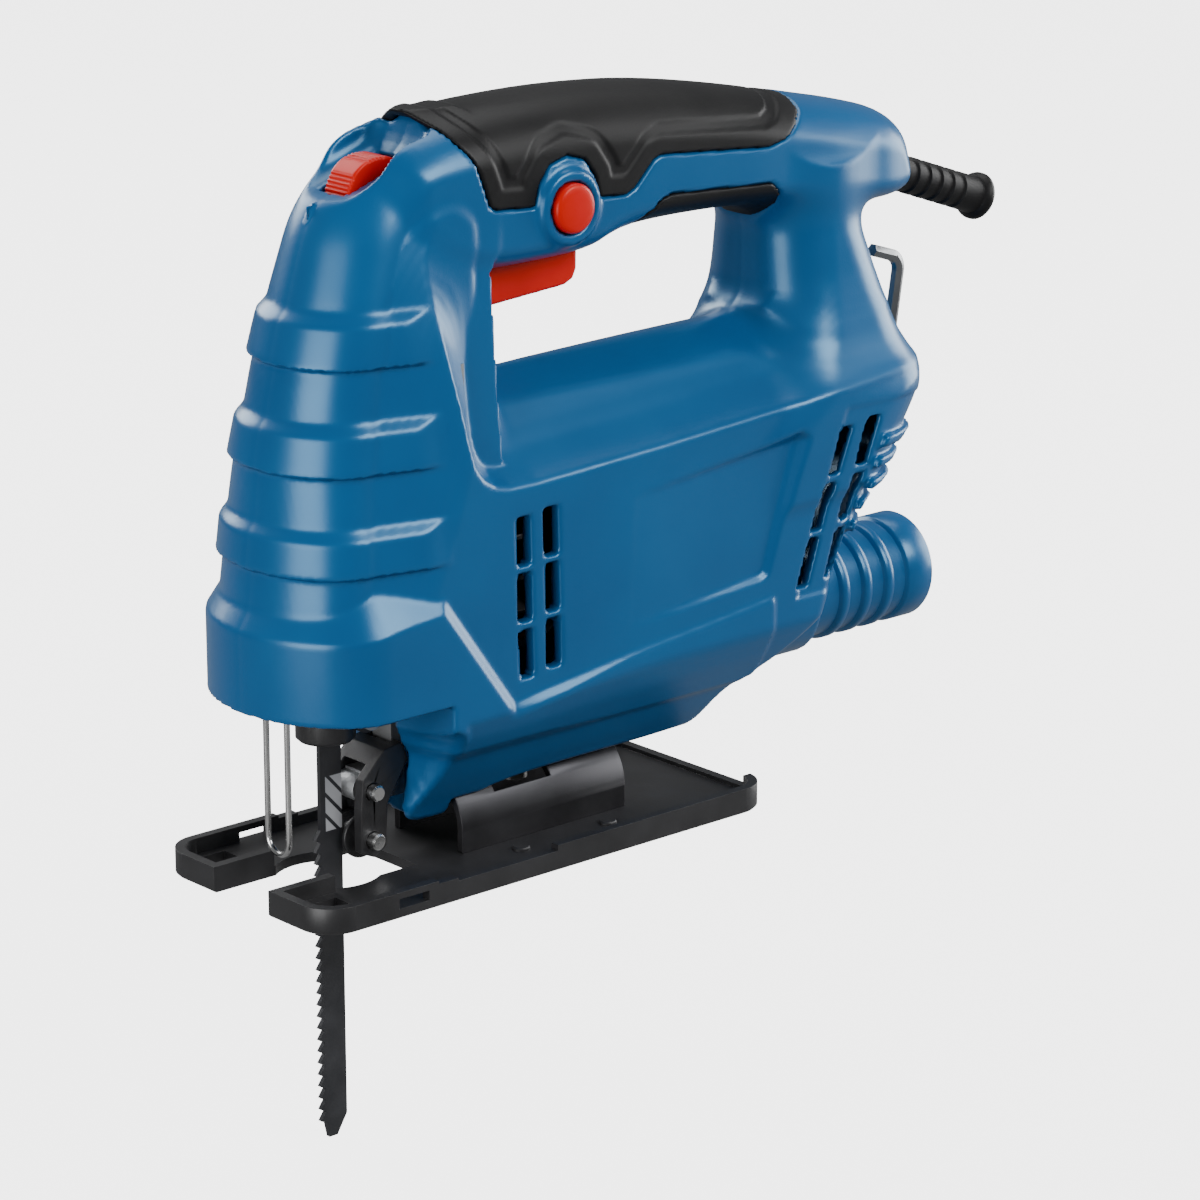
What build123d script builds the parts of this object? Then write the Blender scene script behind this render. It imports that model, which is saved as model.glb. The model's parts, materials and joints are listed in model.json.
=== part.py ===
from build123d import *
from math import acos, asin, cos, degrees, pi, radians, sin, sqrt, tan
import os

# Compact jigsaw: a moulded two-half housing with a closed handle, a universal motor with one
# gear stage, a crank and yoke that move the plunger, and a pressed base plate that tilts and slides.
#
# Frame: X is the cutting axis and the nose points to -X, Z is up, and Y = 0 is the plane where the
# two housing halves meet. The origin is on the sole, straight below the blade. Sizes in millimetres.

os.makedirs("parts", exist_ok=True)

# ---- driving dimensions ----------------------------------------------------------------------
wall = 2.5                   # moulded housing wall
skin = 1.5                   # soft grip layer, let into the wall
fit_gap = 0.3                # clearance beside anything that moves
running_gap = 0.05           # radial clearance of a journal in its bearing
body_half_width = 30.0
handle_half_width = 18.5
window_front = 37.5          # front edge of the hand opening
window_rear = 134.0          # rear edge of the hand opening
collar_bottom = 47.0
collar_top = 68.0
motor_axis = 71.5            # height of the armature

plunger_radius = 4.0
plunger_bottom = 47.0
plunger_length = 80.0
stroke = 20.0

gear_module = 0.7
pinion_teeth = 10
gear_teeth = 60
profile_shift = 0.4          # positive on the pinion, negative on the gear
tooth_backlash = 0.06
gear_front = 14.0
gear_width = 7.0
pinion_front = 13.0

shaft_radius = 4.0
bearing_radius = 9.0
bearing_width = 7.0
stator_radius = 24.0
stator_front = 55.0
stator_length = 50.0
core_radius = 14.5
air_gap = 0.6
commutator_radius = 10.0
commutator_front = 112.0
commutator_length = 12.0
fan_front = 38.0
fan_depth = 11.0
fan_radius = 22.0
front_bearing_face = 26.5
rear_bearing_face = 131.0

blade_thickness = 1.2
blade_width = 8.0
blade_tip = -66.0
blade_shank_top = 44.0
tooth_pitch = 3.0
tooth_depth = 1.6

plate_thickness = 2.5
plate_front = -26.0
plate_rear = 116.0
plate_half_width = 32.0
lip_height = 6.5
lip_wall = 2.5
low_lip = (14.0, 45.0)       # along here the side lips are lower, with one more step in front
low_lip_step = 0.7
rear_lip_height = 3.6
rear_lip_half_width = 24.0
blade_opening_radius = 13.0
front_gap_half_width = 10.5
roller_notch_half_width = 11.0
roller_notch_rear = 18.0

bevel_height = 8.0           # height of the tilt axis
arch_radius = 13.0
arch_wall = 2.0
arch_front = 31.0
arch_length = 52.6
saddle_gap = 0.3
bevel_limit = 45.0           # degrees each way
shift_range = 12.0
clamp_screw_x = 58.0
clamp_screw_radius = 2.0

pivot_x = 8.5
pivot_height = 22.0
roller_height = 9.8
roller_flange_radius = 5.5
roller_groove_radius = 4.4
roller_half_width = 2.8
cheek_inner = 3.9
cheek_wall = 3.0
pin_radius = 2.0

key_y = -9.0                 # stored hex key
key_across_flats = 3.0
key_corner_place = (181.0, 127.0)
key_lean = 9.0               # degrees from upright, the top end rearwards
key_arm_rise = 18.0          # degrees above level, towards the short arm's tip
key_length = 50.0
key_short_arm = 10.5
key_bend = 4.0
key_depth = 20.0             # how far the long arm stands in its boss

sleeve_start = (183.0, 148.6)
sleeve_droop = 19.0
sleeve_length = 38.0
sleeve_radius = 4.8
cable_radius = 3.3

port_height = 42.0
port_radius = 13.0
port_wall = 2.5
port_front = 112.0
port_rear = 191.0

dial_x = 15.5
dial_height = 163.6
dial_radius = 10.0
dial_half_width = 4.5

button_x = 60.5
button_height = 157.8
button_radius = 6.0
button_travel = 3.0
trigger_pin_x = 41.5
trigger_pin_height = 148.5
trigger_half_width = 7.8

cover_all = 100.0            # longer than any size across the body


# ---- shapes the housing is made from ---------------------------------------------------------
# Each body of the housing is a stack of flat sections joined by straight walls. The same stack,
# moved inwards by the wall, is the hollow inside it.

def front_column(inset):
    """The nose: round in front, square behind, and leaning back towards the top."""
    sections = [
        (collar_bottom - (3 if inset > 0 else 0), -25.0, 5.0, 30.0),
        (collar_top, -25.0, 5.0, 30.0),
        (collar_top + 3, -22.0, 6.0, 28.0),
        (103.0, -18.5, 8.0, 26.0),
        (125.0, -14.0, 11.0, 24.0),
        (143.0, -8.8, 14.0, 21.0),
        (158.0 - max(inset, 0), -4.0, 18.0, 17.8),
    ]
    with BuildPart() as column:
        for height, front, centre, half_width in sections:
            with BuildSketch(Plane.XY.offset(height)):
                with BuildLine():
                    side = half_width - inset
                    EllipticalCenterArc((centre, 0), centre - front - inset, side,
                                        start_angle=90, arc_size=180)
                    Polyline((centre, -side), (window_front - inset, -side),
                             (window_front - inset, side), (centre, side))
                make_face()
        loft(ruled=True)
    return column.part


def rounded_stack(sections, inset):
    """Rounded plan rectangles at rising heights: (height, front, rear, half width, corner)."""
    with BuildPart() as stack:
        for height, front, rear, half_width, corner in sections:
            with BuildSketch(Plane.XY.offset(height)):
                with Locations(((front + rear) / 2, 0)):
                    RectangleRounded(rear - front - 2 * inset, 2 * (half_width - inset),
                                     max(corner - inset, 1.0))
        loft(ruled=True)
    return stack.part


def motor_barrel(inset):
    """The body round the motor, with a rear face that leans back and a hump under the window."""
    side = body_half_width
    return rounded_stack([
        (38.0 + inset, 15.0, 144.0, side - 5, 12.0),
        (44.0, 15.0, 148.0, side, 14.0),
        (97.0, 15.0, 178.0, side, 20.0),
        (106.0, 15.0, 170.0, side - 10, 13.0),
        (114.0, 15.0, 160.0, side - 17, 8.0),
        (118.0 - inset, 15.0, 156.0, side - 23, 5.0),
    ], inset)


def belly(inset):
    """The keel over the base arch, ending in front as the foot behind the roller."""
    return rounded_stack([
        (12.5 + inset, 12.0, 34.0, 8.5, 2.5),
        (16.0 + inset, 13.0, 104.0, 10.3, 3.5),
        (30.0, 22.0, 112.0, 20.2, 6.0),
        (46.0, 26.0, 122.0, 29.0, 8.0),
    ], inset)


def rear_column(inset):
    """The post behind the hand opening."""
    return rounded_stack([
        (88.0, 112.0, 172.0, body_half_width - 2, 18.0),
        (98.0, 122.0, 178.0, body_half_width - 1, 20.0),
        (110.0, window_rear, 175.0, 25.0, 16.0),
        (128.0, window_rear, 170.0, 20.0, 15.0),
        (150.0, window_rear, 162.0, handle_half_width - 0.5, 13.0),
    ], inset)


def handle(inset):
    """The bar over the hand opening and the tail that holds the cord."""
    side = handle_half_width
    stations = [
        (-1.5, 150.0, 162.5, 15.0, 5.0),
        (5.0, 147.0, 171.5, 18.5, 9.0),
        (11.0, 145.0, 176.8, 18.5, 11.0),
        (18.0, 144.0, 180.2, side, 12.0),
        (window_front, 143.0, 182.8, side, 12.0),
        (62.0, 143.5, 184.0, side, 12.5),
        (80.0, 146.0, 183.3, side, 12.5),
        (100.0, 148.0, 181.6, side, 12.5),
        (125.0, 147.5, 177.5, side, 12.5),
        (150.0, 145.0, 171.8, side - 0.5, 12.0),
        (171.0, 143.5, 165.6, side - 2, 10.5),
        (184.0, 144.5, 160.0, side - 6, 7.5),
        (188.0, 147.5, 155.5, side - 11, 3.6),
    ]
    with BuildPart() as bar:
        for x, low, high, half_width, corner in stations:
            end = inset if x in (stations[0][0],) else -inset if x == stations[-1][0] else 0
            with BuildSketch(Plane.YZ.offset(x + end)):
                with Locations((0, (low + high) / 2)):
                    RectangleRounded(2 * (half_width - inset), high - low - 2 * inset,
                                     max(corner - inset, 0.6))
        loft(ruled=True)
    return bar.part


def beam(x0, x1, half_width, z0, z1):
    """A box centred on the middle plane."""
    with BuildPart() as box:
        with Locations(((x0 + x1) / 2, 0, (z0 + z1) / 2)):
            Box(x1 - x0, 2 * half_width, z1 - z0)
    return box.part


def rod_along_x(x0, x1, radius, z, y=0.0):
    with BuildPart() as rod:
        with BuildSketch(Plane.YZ.offset(x0)):
            with Locations((y, z)):
                Circle(radius)
        extrude(amount=x1 - x0)
    return rod.part


def rod_along_y(x, z, radius, y0, y1):
    with BuildPart() as rod:
        with BuildSketch(Plane.XZ.offset(-y0)):
            with Locations((x, z)):
                Circle(radius)
        extrude(amount=-(y1 - y0))
    return rod.part


def side_prism(points, y0, y1):
    """A straight-sided outline in the XZ plane, carried from y0 to y1."""
    with BuildPart() as prism:
        with BuildSketch(Plane.XZ.offset(-y0)):
            with BuildLine():
                Polyline(*points, close=True)
            make_face()
        extrude(amount=-(y1 - y0))
    return prism.part


# ---- the positions that several pieces share ----------------------------------------------------
saddle_radius = arch_radius + saddle_gap
key_direction = Vector(sin(radians(key_lean)), 0, cos(radians(key_lean)))
key_corner = Vector(key_corner_place[0], key_y, key_corner_place[1])
key_plane = Plane(origin=key_corner, x_dir=(0, 1, 0), z_dir=key_direction)
sleeve_direction = Vector(cos(radians(sleeve_droop)), 0, -sin(radians(sleeve_droop)))
sleeve_plane = Plane(origin=(sleeve_start[0], 0, sleeve_start[1]), x_dir=(0, 1, 0),
                     z_dir=sleeve_direction)
grip_outline = [(18, 190), (28, 178.5), (35, 165.5), (37, 160.6), (39, 159.8), (51, 159), (52, 168),
                (69, 168), (70, 158.5), (79, 158.2), (88, 165.6), (126, 163.6), (141, 169.8),
                (147, 190)]
pad_outline = [(84, 140), (84, 149.5), (91, 155.8), (127, 154.6), (133, 148), (133, 140)]
lower_bush = (collar_top, collar_top + 10)
upper_bush = (118.5, 126.0)
bush_radius = 7.0
frame_plate = (23.0, front_bearing_face)
gear_axis = motor_axis + gear_module * (pinion_teeth + gear_teeth) / 2
crank_radius = stroke / 2
crank_pin_radius = 2.5
yoke_rear = 9.0
switch_box = (44.0, 76.0, 7.5, 155.5, 172.0)
board_outline = [(8, 150), (28.5, 150), (28.5, 168.6), (24, 168.6), (8, 163.2)]
board_side = dial_half_width + 1.0
board_thickness = 1.6
cord_clamp_box = (158.0, 170.0, 9.0, 149.0, 157.0)
guard_x = -14.5
guard_wire = 0.75
guard_half_width = 4.0
guard_top = 61.0
guard_bottom = 10.0
screw_radius = 1.5
screw_head_radius = 3.2
screw_head = 2.4
boss_radius = 3.9
# where each housing screw stands, and how far out its head sits
screw_places = [(25, 138, 14.0), (56, 103, 13.0), (150, 106, 16.0), (148, 64, 21.0),
                (40, 31, 12.0), (95, 165, 11.0), (140, 159, 11.0)]
screw_end = -11.0
foot_slot_half_width = cheek_inner + cheek_wall + 0.4
trigger_pin_radius = 1.6
trigger_pin_half_length = 15.5


# ---- housing -----------------------------------------------------------------------------------
def solid_housing(inset):
    with BuildPart() as whole:
        add([front_column(inset), motor_barrel(inset), belly(inset), rear_column(inset),
             handle(inset)])
    return whole.part


def common(first, others):
    """The part of the first solid that lies inside any of the others."""
    with BuildPart() as zone:
        add(others)
    with BuildPart() as inside:
        add(first)
        add(zone.part, mode=Mode.INTERSECT)
    return inside.part


outer = solid_housing(0)
cavity = solid_housing(wall)
body_pieces = [outer]
inner_pieces = []
cuts = []

# ring bands that stand proud round the nose
ring_height = 1.2
ring_bands = [(81.5, 92.5), (104.5, 116.0), (129.0, 140.5)]
ring_rear = 13.0
body_pieces.append(common(front_column(-ring_height),
                          [beam(-40, ring_rear, 40, low, high) for low, high in ring_bands]))

# the outlet boss, the boss of the stored key, the collar round the lock button and the rear fins
outlet_boss_end = 149.0
body_pieces.append(rod_along_x(port_front - 8, outlet_boss_end, port_radius + wall, port_height))
key_corner_radius = key_across_flats / sqrt(3)
with BuildPart() as key_boss:
    with BuildSketch(key_plane.offset(-key_length + 2)):
        Circle(key_corner_radius + 2)
    extrude(amount=key_depth)
body_pieces.append(key_boss.part)
button_collar = rod_along_y(button_x, button_height, button_radius + wall, -20.5, -10)
body_pieces.append(button_collar)
fin_count = 5
fin_pitch = 8.0
fin_thickness = 3.0
for row in range(fin_count):
    height = 61.0 + row * fin_pitch
    face = 148.0 + (height - 44.0) * 30 / 53
    body_pieces.append(beam(face - 6, face + 3, body_half_width - 12, height,
                            height + fin_thickness))

# ribs across the motor space, each cut to the piece that it carries
rib = 3.0
rib_starts = [frame_plate[1], stator_front + rib, stator_front + stator_length - 2 * rib,
              commutator_front - rib]
rib_spans = [(x, x + rib) for x in rib_starts] + [(rear_bearing_face,
                                                   rear_bearing_face + bearing_width)]
with BuildPart() as motor_ribs:
    add(common(motor_barrel(wall / 2), [beam(x0, x1, 40, 36, 104) for x0, x1 in rib_spans]))
    add([rod_along_x(frame_plate[0], frame_plate[1] + rib + 0.1, bearing_radius + 4, motor_axis),
         rod_along_x(stator_front - 5, stator_front + stator_length + 2, stator_radius, motor_axis),
         rod_along_x(commutator_front - 5, commutator_front + 1, 15, motor_axis),
         rod_along_x(rear_bearing_face - 1, rear_bearing_face + 14, bearing_radius, motor_axis)],
        mode=Mode.SUBTRACT)
inner_pieces.append(motor_ribs.part)

# ribs in the handle for the switch, the speed board and the cord clamp
switch_block = beam(*switch_box)
board_blank = side_prism(board_outline, board_side, board_side + board_thickness)
cord_clamp_block = beam(*cord_clamp_box)
with BuildPart() as handle_ribs:
    add(common(handle(wall / 2), [beam(48.0, 48.0 + rib, 30, switch_box[3], 184),
                                  beam(70.0, 70.0 + rib, 30, switch_box[3], 184),
                                  beam(26.0, 26.0 + rib, 30, 150, 184),
                                  beam(160.0, 160.0 + rib, 30, 145, 184)]))
    add([switch_block, board_blank, cord_clamp_block], mode=Mode.SUBTRACT)
inner_pieces.append(handle_ribs.part)

# screw bosses, the block behind the wire guard, the saddle wall and the boss of its screw
inner_pieces.append(common(outer, [rod_along_y(x, z, boss_radius, -40, 40)
                                   for x, z, head in screw_places]))
inner_pieces.append(common(front_column(wall / 2),
                           [beam(-40, guard_x + 3, guard_half_width + 4, guard_top - 6,
                                 guard_top + 2)]))
saddle_end = arch_front + arch_length + shift_range + 1
shoe_screw_top = 33.0
with BuildPart() as shoe_screw_boss:
    with Locations((clamp_screw_x, 0, 28)):
        Cylinder(5.5, 16)
inner_pieces.append(common(outer, [
    rod_along_x(arch_front - 1 - wall, saddle_end + wall, saddle_radius + wall, bevel_height),
    shoe_screw_boss.part]))

# the pocket in the nose for the speed dial, with a wall of its own under it
pocket_half_width = 10.5
pocket_outline = [(-14, 161), (3, 165.6), (22, 172.6), (30, 186), (-14, 186)]
liner_outline = [(-14, 158), (3.5, 162.6), (24.5, 170.0), (33.5, 186), (-14, 186)]
inner_pieces.append(common(handle(0), [side_prism(liner_outline, -pocket_half_width - wall,
                                                  pocket_half_width + wall)]))
cuts.append(side_prism(pocket_outline, -pocket_half_width, pocket_half_width))
dial_side = dial_half_width + 0.5
cuts.append(rod_along_y(dial_x, dial_height, dial_radius + 1, -dial_side, dial_side))
cuts.append(beam(dial_x - 6, dial_x + 6, dial_side, dial_height, dial_height + 8))

# the soft grip and the pad lie in their own recesses
with BuildPart() as soft_layer:
    add(handle(0))
    add(handle(skin), mode=Mode.SUBTRACT)
cuts.append(common(soft_layer.part, [side_prism(grip_outline, -30, 30),
                                     side_prism(pad_outline, -30, 30)]))

# vents and the sunk panel on both sides
vent_height = 11.8
vent_rib = 2.0


def vent_column(x_low, x_high, width, z_low, cells):
    """Slots one above another, in a column that leans from x_low to x_high."""
    lean = (x_high - x_low) / (cells * (vent_height + vent_rib))
    slots = []
    for row in range(cells):
        rise = row * (vent_height + vent_rib)
        x0 = x_low + lean * rise
        x1 = x0 + lean * vent_height
        z0 = z_low + rise
        slots.append([(x0, z0), (x0 + width, z0), (x1 + width, z0 + vent_height),
                      (x1, z0 + vent_height)])
    return slots


vents = (vent_column(37.0, 36.0, 4.0, 49.0, 3) + vent_column(45.5, 44.5, 4.0, 50.0, 3)
         + vent_column(127.0, 141.0, 4.6, 53.5, 3) + vent_column(137.5, 150.5, 4.6, 54.5, 3))
panel_outline = [(73, 87), (128, 93), (116, 58), (71, 56)]
panel_depth = 0.8
vent_reach = body_half_width - 2 * wall
for slot in vents:
    cuts.append(side_prism(slot, -cover_all, -vent_reach))
    cuts.append(side_prism(slot, vent_reach, cover_all))
panel_face = body_half_width - panel_depth
cuts.append(side_prism(panel_outline, -cover_all, -panel_face))
cuts.append(side_prism(panel_outline, panel_face, cover_all))

# trigger slot and pin hole, lock button bore
cuts.append(beam(window_front - 1.5, 75.5, trigger_half_width + fit_gap, 125, 154.5))
cuts.append(rod_along_y(trigger_pin_x, trigger_pin_height, trigger_pin_radius,
                        -trigger_pin_half_length, trigger_pin_half_length))
cuts.append(rod_along_y(button_x, button_height, button_radius + running_gap, -30, -8))

# the saddle over the base arch, the open underside of the nose and the mouth of the foot
cuts.append(rod_along_x(arch_front - 1, saddle_end, saddle_radius, bevel_height))
cuts.append(beam(-30, 23.5, foot_slot_half_width, 5, collar_bottom - 1.5))
cuts.append(beam(-2, 23.5, 24, 44, collar_bottom + 0.5))
with BuildPart() as shoe_screw_hole:
    with Locations((clamp_screw_x, 0, shoe_screw_top - 10)):
        Cylinder(clamp_screw_radius, 20)
cuts.append(shoe_screw_hole.part)

# outlet bore, cord sleeve seat, key hole and wire guard holes
cuts.append(rod_along_x(port_front - 10, outlet_boss_end + 8, port_radius, port_height))
sleeve_flange = 1.5
with BuildPart() as sleeve_seat:
    with BuildSketch(sleeve_plane.offset(-16)):
        Circle(sleeve_radius)
    extrude(amount=40)
    with BuildSketch(sleeve_plane.offset(-10)):
        Circle(sleeve_radius + sleeve_flange)
    extrude(amount=4)
cuts.append(sleeve_seat.part)
with BuildPart() as key_hole:
    with BuildSketch(key_plane.offset(-key_length)):
        Circle(key_corner_radius + running_gap)
    extrude(amount=key_length - key_bend)
cuts.append(key_hole.part)
with BuildPart() as guard_holes:
    with Locations((guard_x, -guard_half_width, guard_top - 6),
                   (guard_x, guard_half_width, guard_top - 6)):
        Cylinder(guard_wire, 10)
cuts.append(guard_holes.part)

# screw holes, blind in the near half, with sunk heads in the far half
for x, z, head in screw_places:
    cuts.append(rod_along_y(x, z, screw_radius, screw_end, head))
    cuts.append(rod_along_y(x, z, screw_head_radius + 0.2, head, cover_all))

with BuildPart() as shell:
    add(body_pieces)
    add(cavity, mode=Mode.SUBTRACT)
    add(inner_pieces)
    add(cuts, mode=Mode.SUBTRACT)

for name, side in (("left_housing", Keep.TOP), ("right_housing", Keep.BOTTOM)):
    with BuildPart() as half:
        add(shell.part)
        split(bisect_by=Plane.XZ, keep=side)
    half.part.label = name
    export_step(half.part, f"parts/{name}.step")


def save(part, name):
    part.label = name
    export_step(part, f"parts/{name}.step")


# ---- soft parts of the handle --------------------------------------------------------------------
for name, outline in (("handle_grip", grip_outline), ("handle_pad", pad_outline)):
    with BuildPart() as soft:
        add(handle(0))
        add(handle(skin), mode=Mode.SUBTRACT)
        add(side_prism(outline, -30, 30), mode=Mode.INTERSECT)
        add(front_column(0), mode=Mode.SUBTRACT)
        add(rear_column(0), mode=Mode.SUBTRACT)
        add(button_collar, mode=Mode.SUBTRACT)
        for x, z, head in screw_places:
            add(rod_along_y(x, z, screw_head_radius + 0.2, head, cover_all), mode=Mode.SUBTRACT)
    save(soft.part, name)


# ---- gear frame: the casting that holds the bushes, the front bearing, the gear pin and the lever ----
leg_front = 17.0
leg_rear = 21.0
leg_half_width = cheek_inner - 0.4
foot_height = (pivot_height - 4.0, pivot_height + 4.0)
gear_pin_radius = 3.0
pinion_hole = 6.5
frame_half_width = 20.5
frame_bottom = 60.0
leg_top = 65.0
web_half_width = 12.0

with BuildPart() as gear_frame:
    add(beam(frame_plate[0], frame_plate[1], frame_half_width, frame_bottom, upper_bush[1]))
    # lower bush block, reached past the pinion by two webs
    add(beam(-9, 9, web_half_width, lower_bush[0], lower_bush[1]))
    add(beam(0, frame_plate[0], web_half_width, frame_bottom + 2, 73.5))
    add(beam(9, frame_plate[0], web_half_width - 4, frame_bottom, 80), mode=Mode.SUBTRACT)
    add(beam(-2, frame_plate[0], 30, frame_bottom, lower_bush[0]), mode=Mode.SUBTRACT)
    # upper bush block and its bracket
    add(beam(-9, frame_plate[1], 9, upper_bush[0] + 0.3, upper_bush[1]))
    # leg down to the roller lever
    add(beam(leg_front, leg_rear, leg_half_width, foot_height[0], leg_top))
    add(beam(leg_front, frame_plate[1], leg_half_width, frame_bottom, leg_top))
    add(beam(pivot_x, leg_rear, leg_half_width, foot_height[0], foot_height[1]))
    add(rod_along_y(pivot_x, pivot_height, 3.4, -leg_half_width, leg_half_width))
    # bearing seat behind the plate, and the bores
    add(rod_along_x(frame_plate[0], frame_plate[1] + bearing_width - 1, bearing_radius + 3.5,
                    motor_axis))
    add(rod_along_x(frame_plate[1] - 1, 60, bearing_radius, motor_axis), mode=Mode.SUBTRACT)
    add(rod_along_x(10, frame_plate[1], pinion_hole, motor_axis), mode=Mode.SUBTRACT)
    add(rod_along_x(0, 60, gear_pin_radius, gear_axis), mode=Mode.SUBTRACT)
    add(rod_along_y(pivot_x, pivot_height, pin_radius, -20, 20), mode=Mode.SUBTRACT)
    for low, high in (lower_bush, upper_bush):
        with Locations((0, 0, (low + high) / 2)):
            Cylinder(bush_radius, high - low + 6, mode=Mode.SUBTRACT)
save(gear_frame.part, "gear_frame")

for name, (low, high) in (("lower_bush", lower_bush), ("upper_bush", upper_bush)):
    with BuildPart() as bush:
        with Locations((0, 0, (low + high) / 2)):
            Cylinder(bush_radius, high - low)
            Cylinder(plunger_radius + running_gap, high - low, mode=Mode.SUBTRACT)
        chamfer(bush.edges().filter_by(GeomType.CIRCLE).group_by(Axis.Z)[-1], 0.4)
    save(bush.part, name)


# ---- motor ------------------------------------------------------------------------------------------
with BuildPart() as stator:
    add(rod_along_x(stator_front, stator_front + stator_length, stator_radius, motor_axis))
    add(rod_along_x(stator_front, stator_front + stator_length, core_radius + air_gap, motor_axis),
        mode=Mode.SUBTRACT)
    # two slots for the field coils, above and below the bore
    for angle in (90, 270):
        with BuildSketch(Plane.YZ.offset(stator_front)):
            with Locations((0, motor_axis)):
                with PolarLocations((core_radius + stator_radius) / 2, 1, start_angle=angle):
                    Rectangle(4.0, 16.0)
        extrude(amount=stator_length, mode=Mode.SUBTRACT)
save(stator.part, "stator")

coil_overhang = 4.0
for name, angle in (("upper_field_coil", 90), ("lower_field_coil", 270)):
    with BuildPart() as coil:
        with BuildSketch(Plane.YZ.offset(stator_front - coil_overhang)):
            with Locations((0, motor_axis)):
                with PolarLocations((core_radius + stator_radius) / 2, 1, start_angle=angle):
                    Rectangle(4.0, 16.0)
        extrude(amount=stator_length + 2 * coil_overhang)
        fillet(coil.edges().filter_by(Axis.X), 1.2)
    save(coil.part, name)


def gear_outline(teeth, shift, first_angle):
    """An involute outline with one tooth centred on first_angle, drawn as an edge loop."""
    pressure = radians(20)
    pitch_radius = gear_module * teeth / 2
    base_radius = pitch_radius * cos(pressure)
    tip_radius = pitch_radius + gear_module * (1 + shift)
    root_radius = pitch_radius - gear_module * (1.25 - shift)
    half_tooth = ((pi / 2 + 2 * shift * tan(pressure)) * gear_module - tooth_backlash) / pitch_radius / 2
    involute_at_pitch = tan(pressure) - pressure

    def flank_angle(radius):
        roll = acos(min(1.0, base_radius / radius))
        return half_tooth + involute_at_pitch - (tan(roll) - roll)

    def place(radius, angle):
        return (radius * cos(angle), radius * sin(angle))

    start = max(root_radius, base_radius)
    radii = [start + (tip_radius - start) * step / 4 for step in range(5)]
    pitch_angle = 2 * pi / teeth
    for tooth in range(teeth):
        middle = radians(first_angle) + tooth * pitch_angle
        left = [place(radius, middle - flank_angle(radius)) for radius in radii]
        right = [place(radius, middle + flank_angle(radius)) for radius in reversed(radii)]
        root_left = place(root_radius, middle - flank_angle(start))
        root_right = place(root_radius, middle + flank_angle(start))
        next_left = place(root_radius, middle + pitch_angle - flank_angle(start))
        if root_radius < base_radius:
            Line(root_left, left[0])
        Spline(*left)
        ThreePointArc(left[-1], place(tip_radius, middle), right[0])
        Spline(*right)
        if root_radius < base_radius:
            Line(right[-1], root_right)
        ThreePointArc(root_right, place(root_radius, middle + pitch_angle / 2), next_left)


def toothed_disc(x, width, z, teeth, shift, first_angle):
    with BuildPart() as disc:
        with BuildSketch(Plane(origin=(x, 0, z), x_dir=(0, 1, 0), z_dir=(1, 0, 0))):
            with BuildLine():
                gear_outline(teeth, shift, first_angle)
            make_face()
        extrude(amount=width)
    return disc.part


shaft_rear = rear_bearing_face + bearing_width + 1
pinion_bore_front = pinion_front + 9.0
with BuildPart() as armature_shaft:
    add(toothed_disc(pinion_front, pinion_bore_front - pinion_front, motor_axis, pinion_teeth,
                     profile_shift, 90.0))
    add(rod_along_x(pinion_bore_front, shaft_rear, shaft_radius, motor_axis))
    chamfer(armature_shaft.faces().sort_by(Axis.X)[-1].edges(), 0.5)
save(armature_shaft.part, "armature_shaft")

core_slots = 12
with BuildPart() as armature_core:
    add(rod_along_x(stator_front, stator_front + stator_length, core_radius, motor_axis))
    with BuildSketch(Plane.YZ.offset(stator_front)):
        with Locations((0, motor_axis)):
            with PolarLocations(core_radius - 1.2, core_slots):
                Rectangle(4.0, 1.6)
    extrude(amount=stator_length, mode=Mode.SUBTRACT)
    add(rod_along_x(stator_front, stator_front + stator_length, shaft_radius, motor_axis),
        mode=Mode.SUBTRACT)
save(armature_core.part, "armature_core")

winding_radius = core_radius - 3.5
winding_lengths = (("front_winding", stator_front - coil_overhang, stator_front),
                   ("rear_winding", stator_front + stator_length,
                    stator_front + stator_length + coil_overhang))
for name, x0, x1 in winding_lengths:
    with BuildPart() as winding:
        add(rod_along_x(x0, x1, winding_radius, motor_axis))
        add(rod_along_x(x0, x1, shaft_radius, motor_axis), mode=Mode.SUBTRACT)
    save(winding.part, name)

commutator_bars = 24
with BuildPart() as commutator:
    add(rod_along_x(commutator_front, commutator_front + commutator_length, commutator_radius,
                    motor_axis))
    with BuildSketch(Plane.YZ.offset(commutator_front)):
        with Locations((0, motor_axis)):
            with PolarLocations(commutator_radius, commutator_bars):
                Rectangle(0.8, 0.4)
    extrude(amount=commutator_length, mode=Mode.SUBTRACT)
    add(rod_along_x(commutator_front, commutator_front + commutator_length, shaft_radius,
                    motor_axis), mode=Mode.SUBTRACT)
save(commutator.part, "commutator")

fan_blades = 14
fan_hub = 8.0
with BuildPart() as fan:
    add(rod_along_x(fan_front + fan_depth - 2, fan_front + fan_depth, fan_radius, motor_axis))
    add(rod_along_x(fan_front, fan_front + fan_depth, fan_hub, motor_axis))
    with BuildSketch(Plane.YZ.offset(fan_front)):
        with Locations((0, motor_axis)):
            with PolarLocations((fan_hub + fan_radius) / 2 - 0.5, fan_blades):
                Rectangle(fan_radius - fan_hub, 1.2)
    extrude(amount=fan_depth)
    add(rod_along_x(fan_front, fan_front + fan_depth, shaft_radius, motor_axis),
        mode=Mode.SUBTRACT)
save(fan.part, "cooling_fan")

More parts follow.
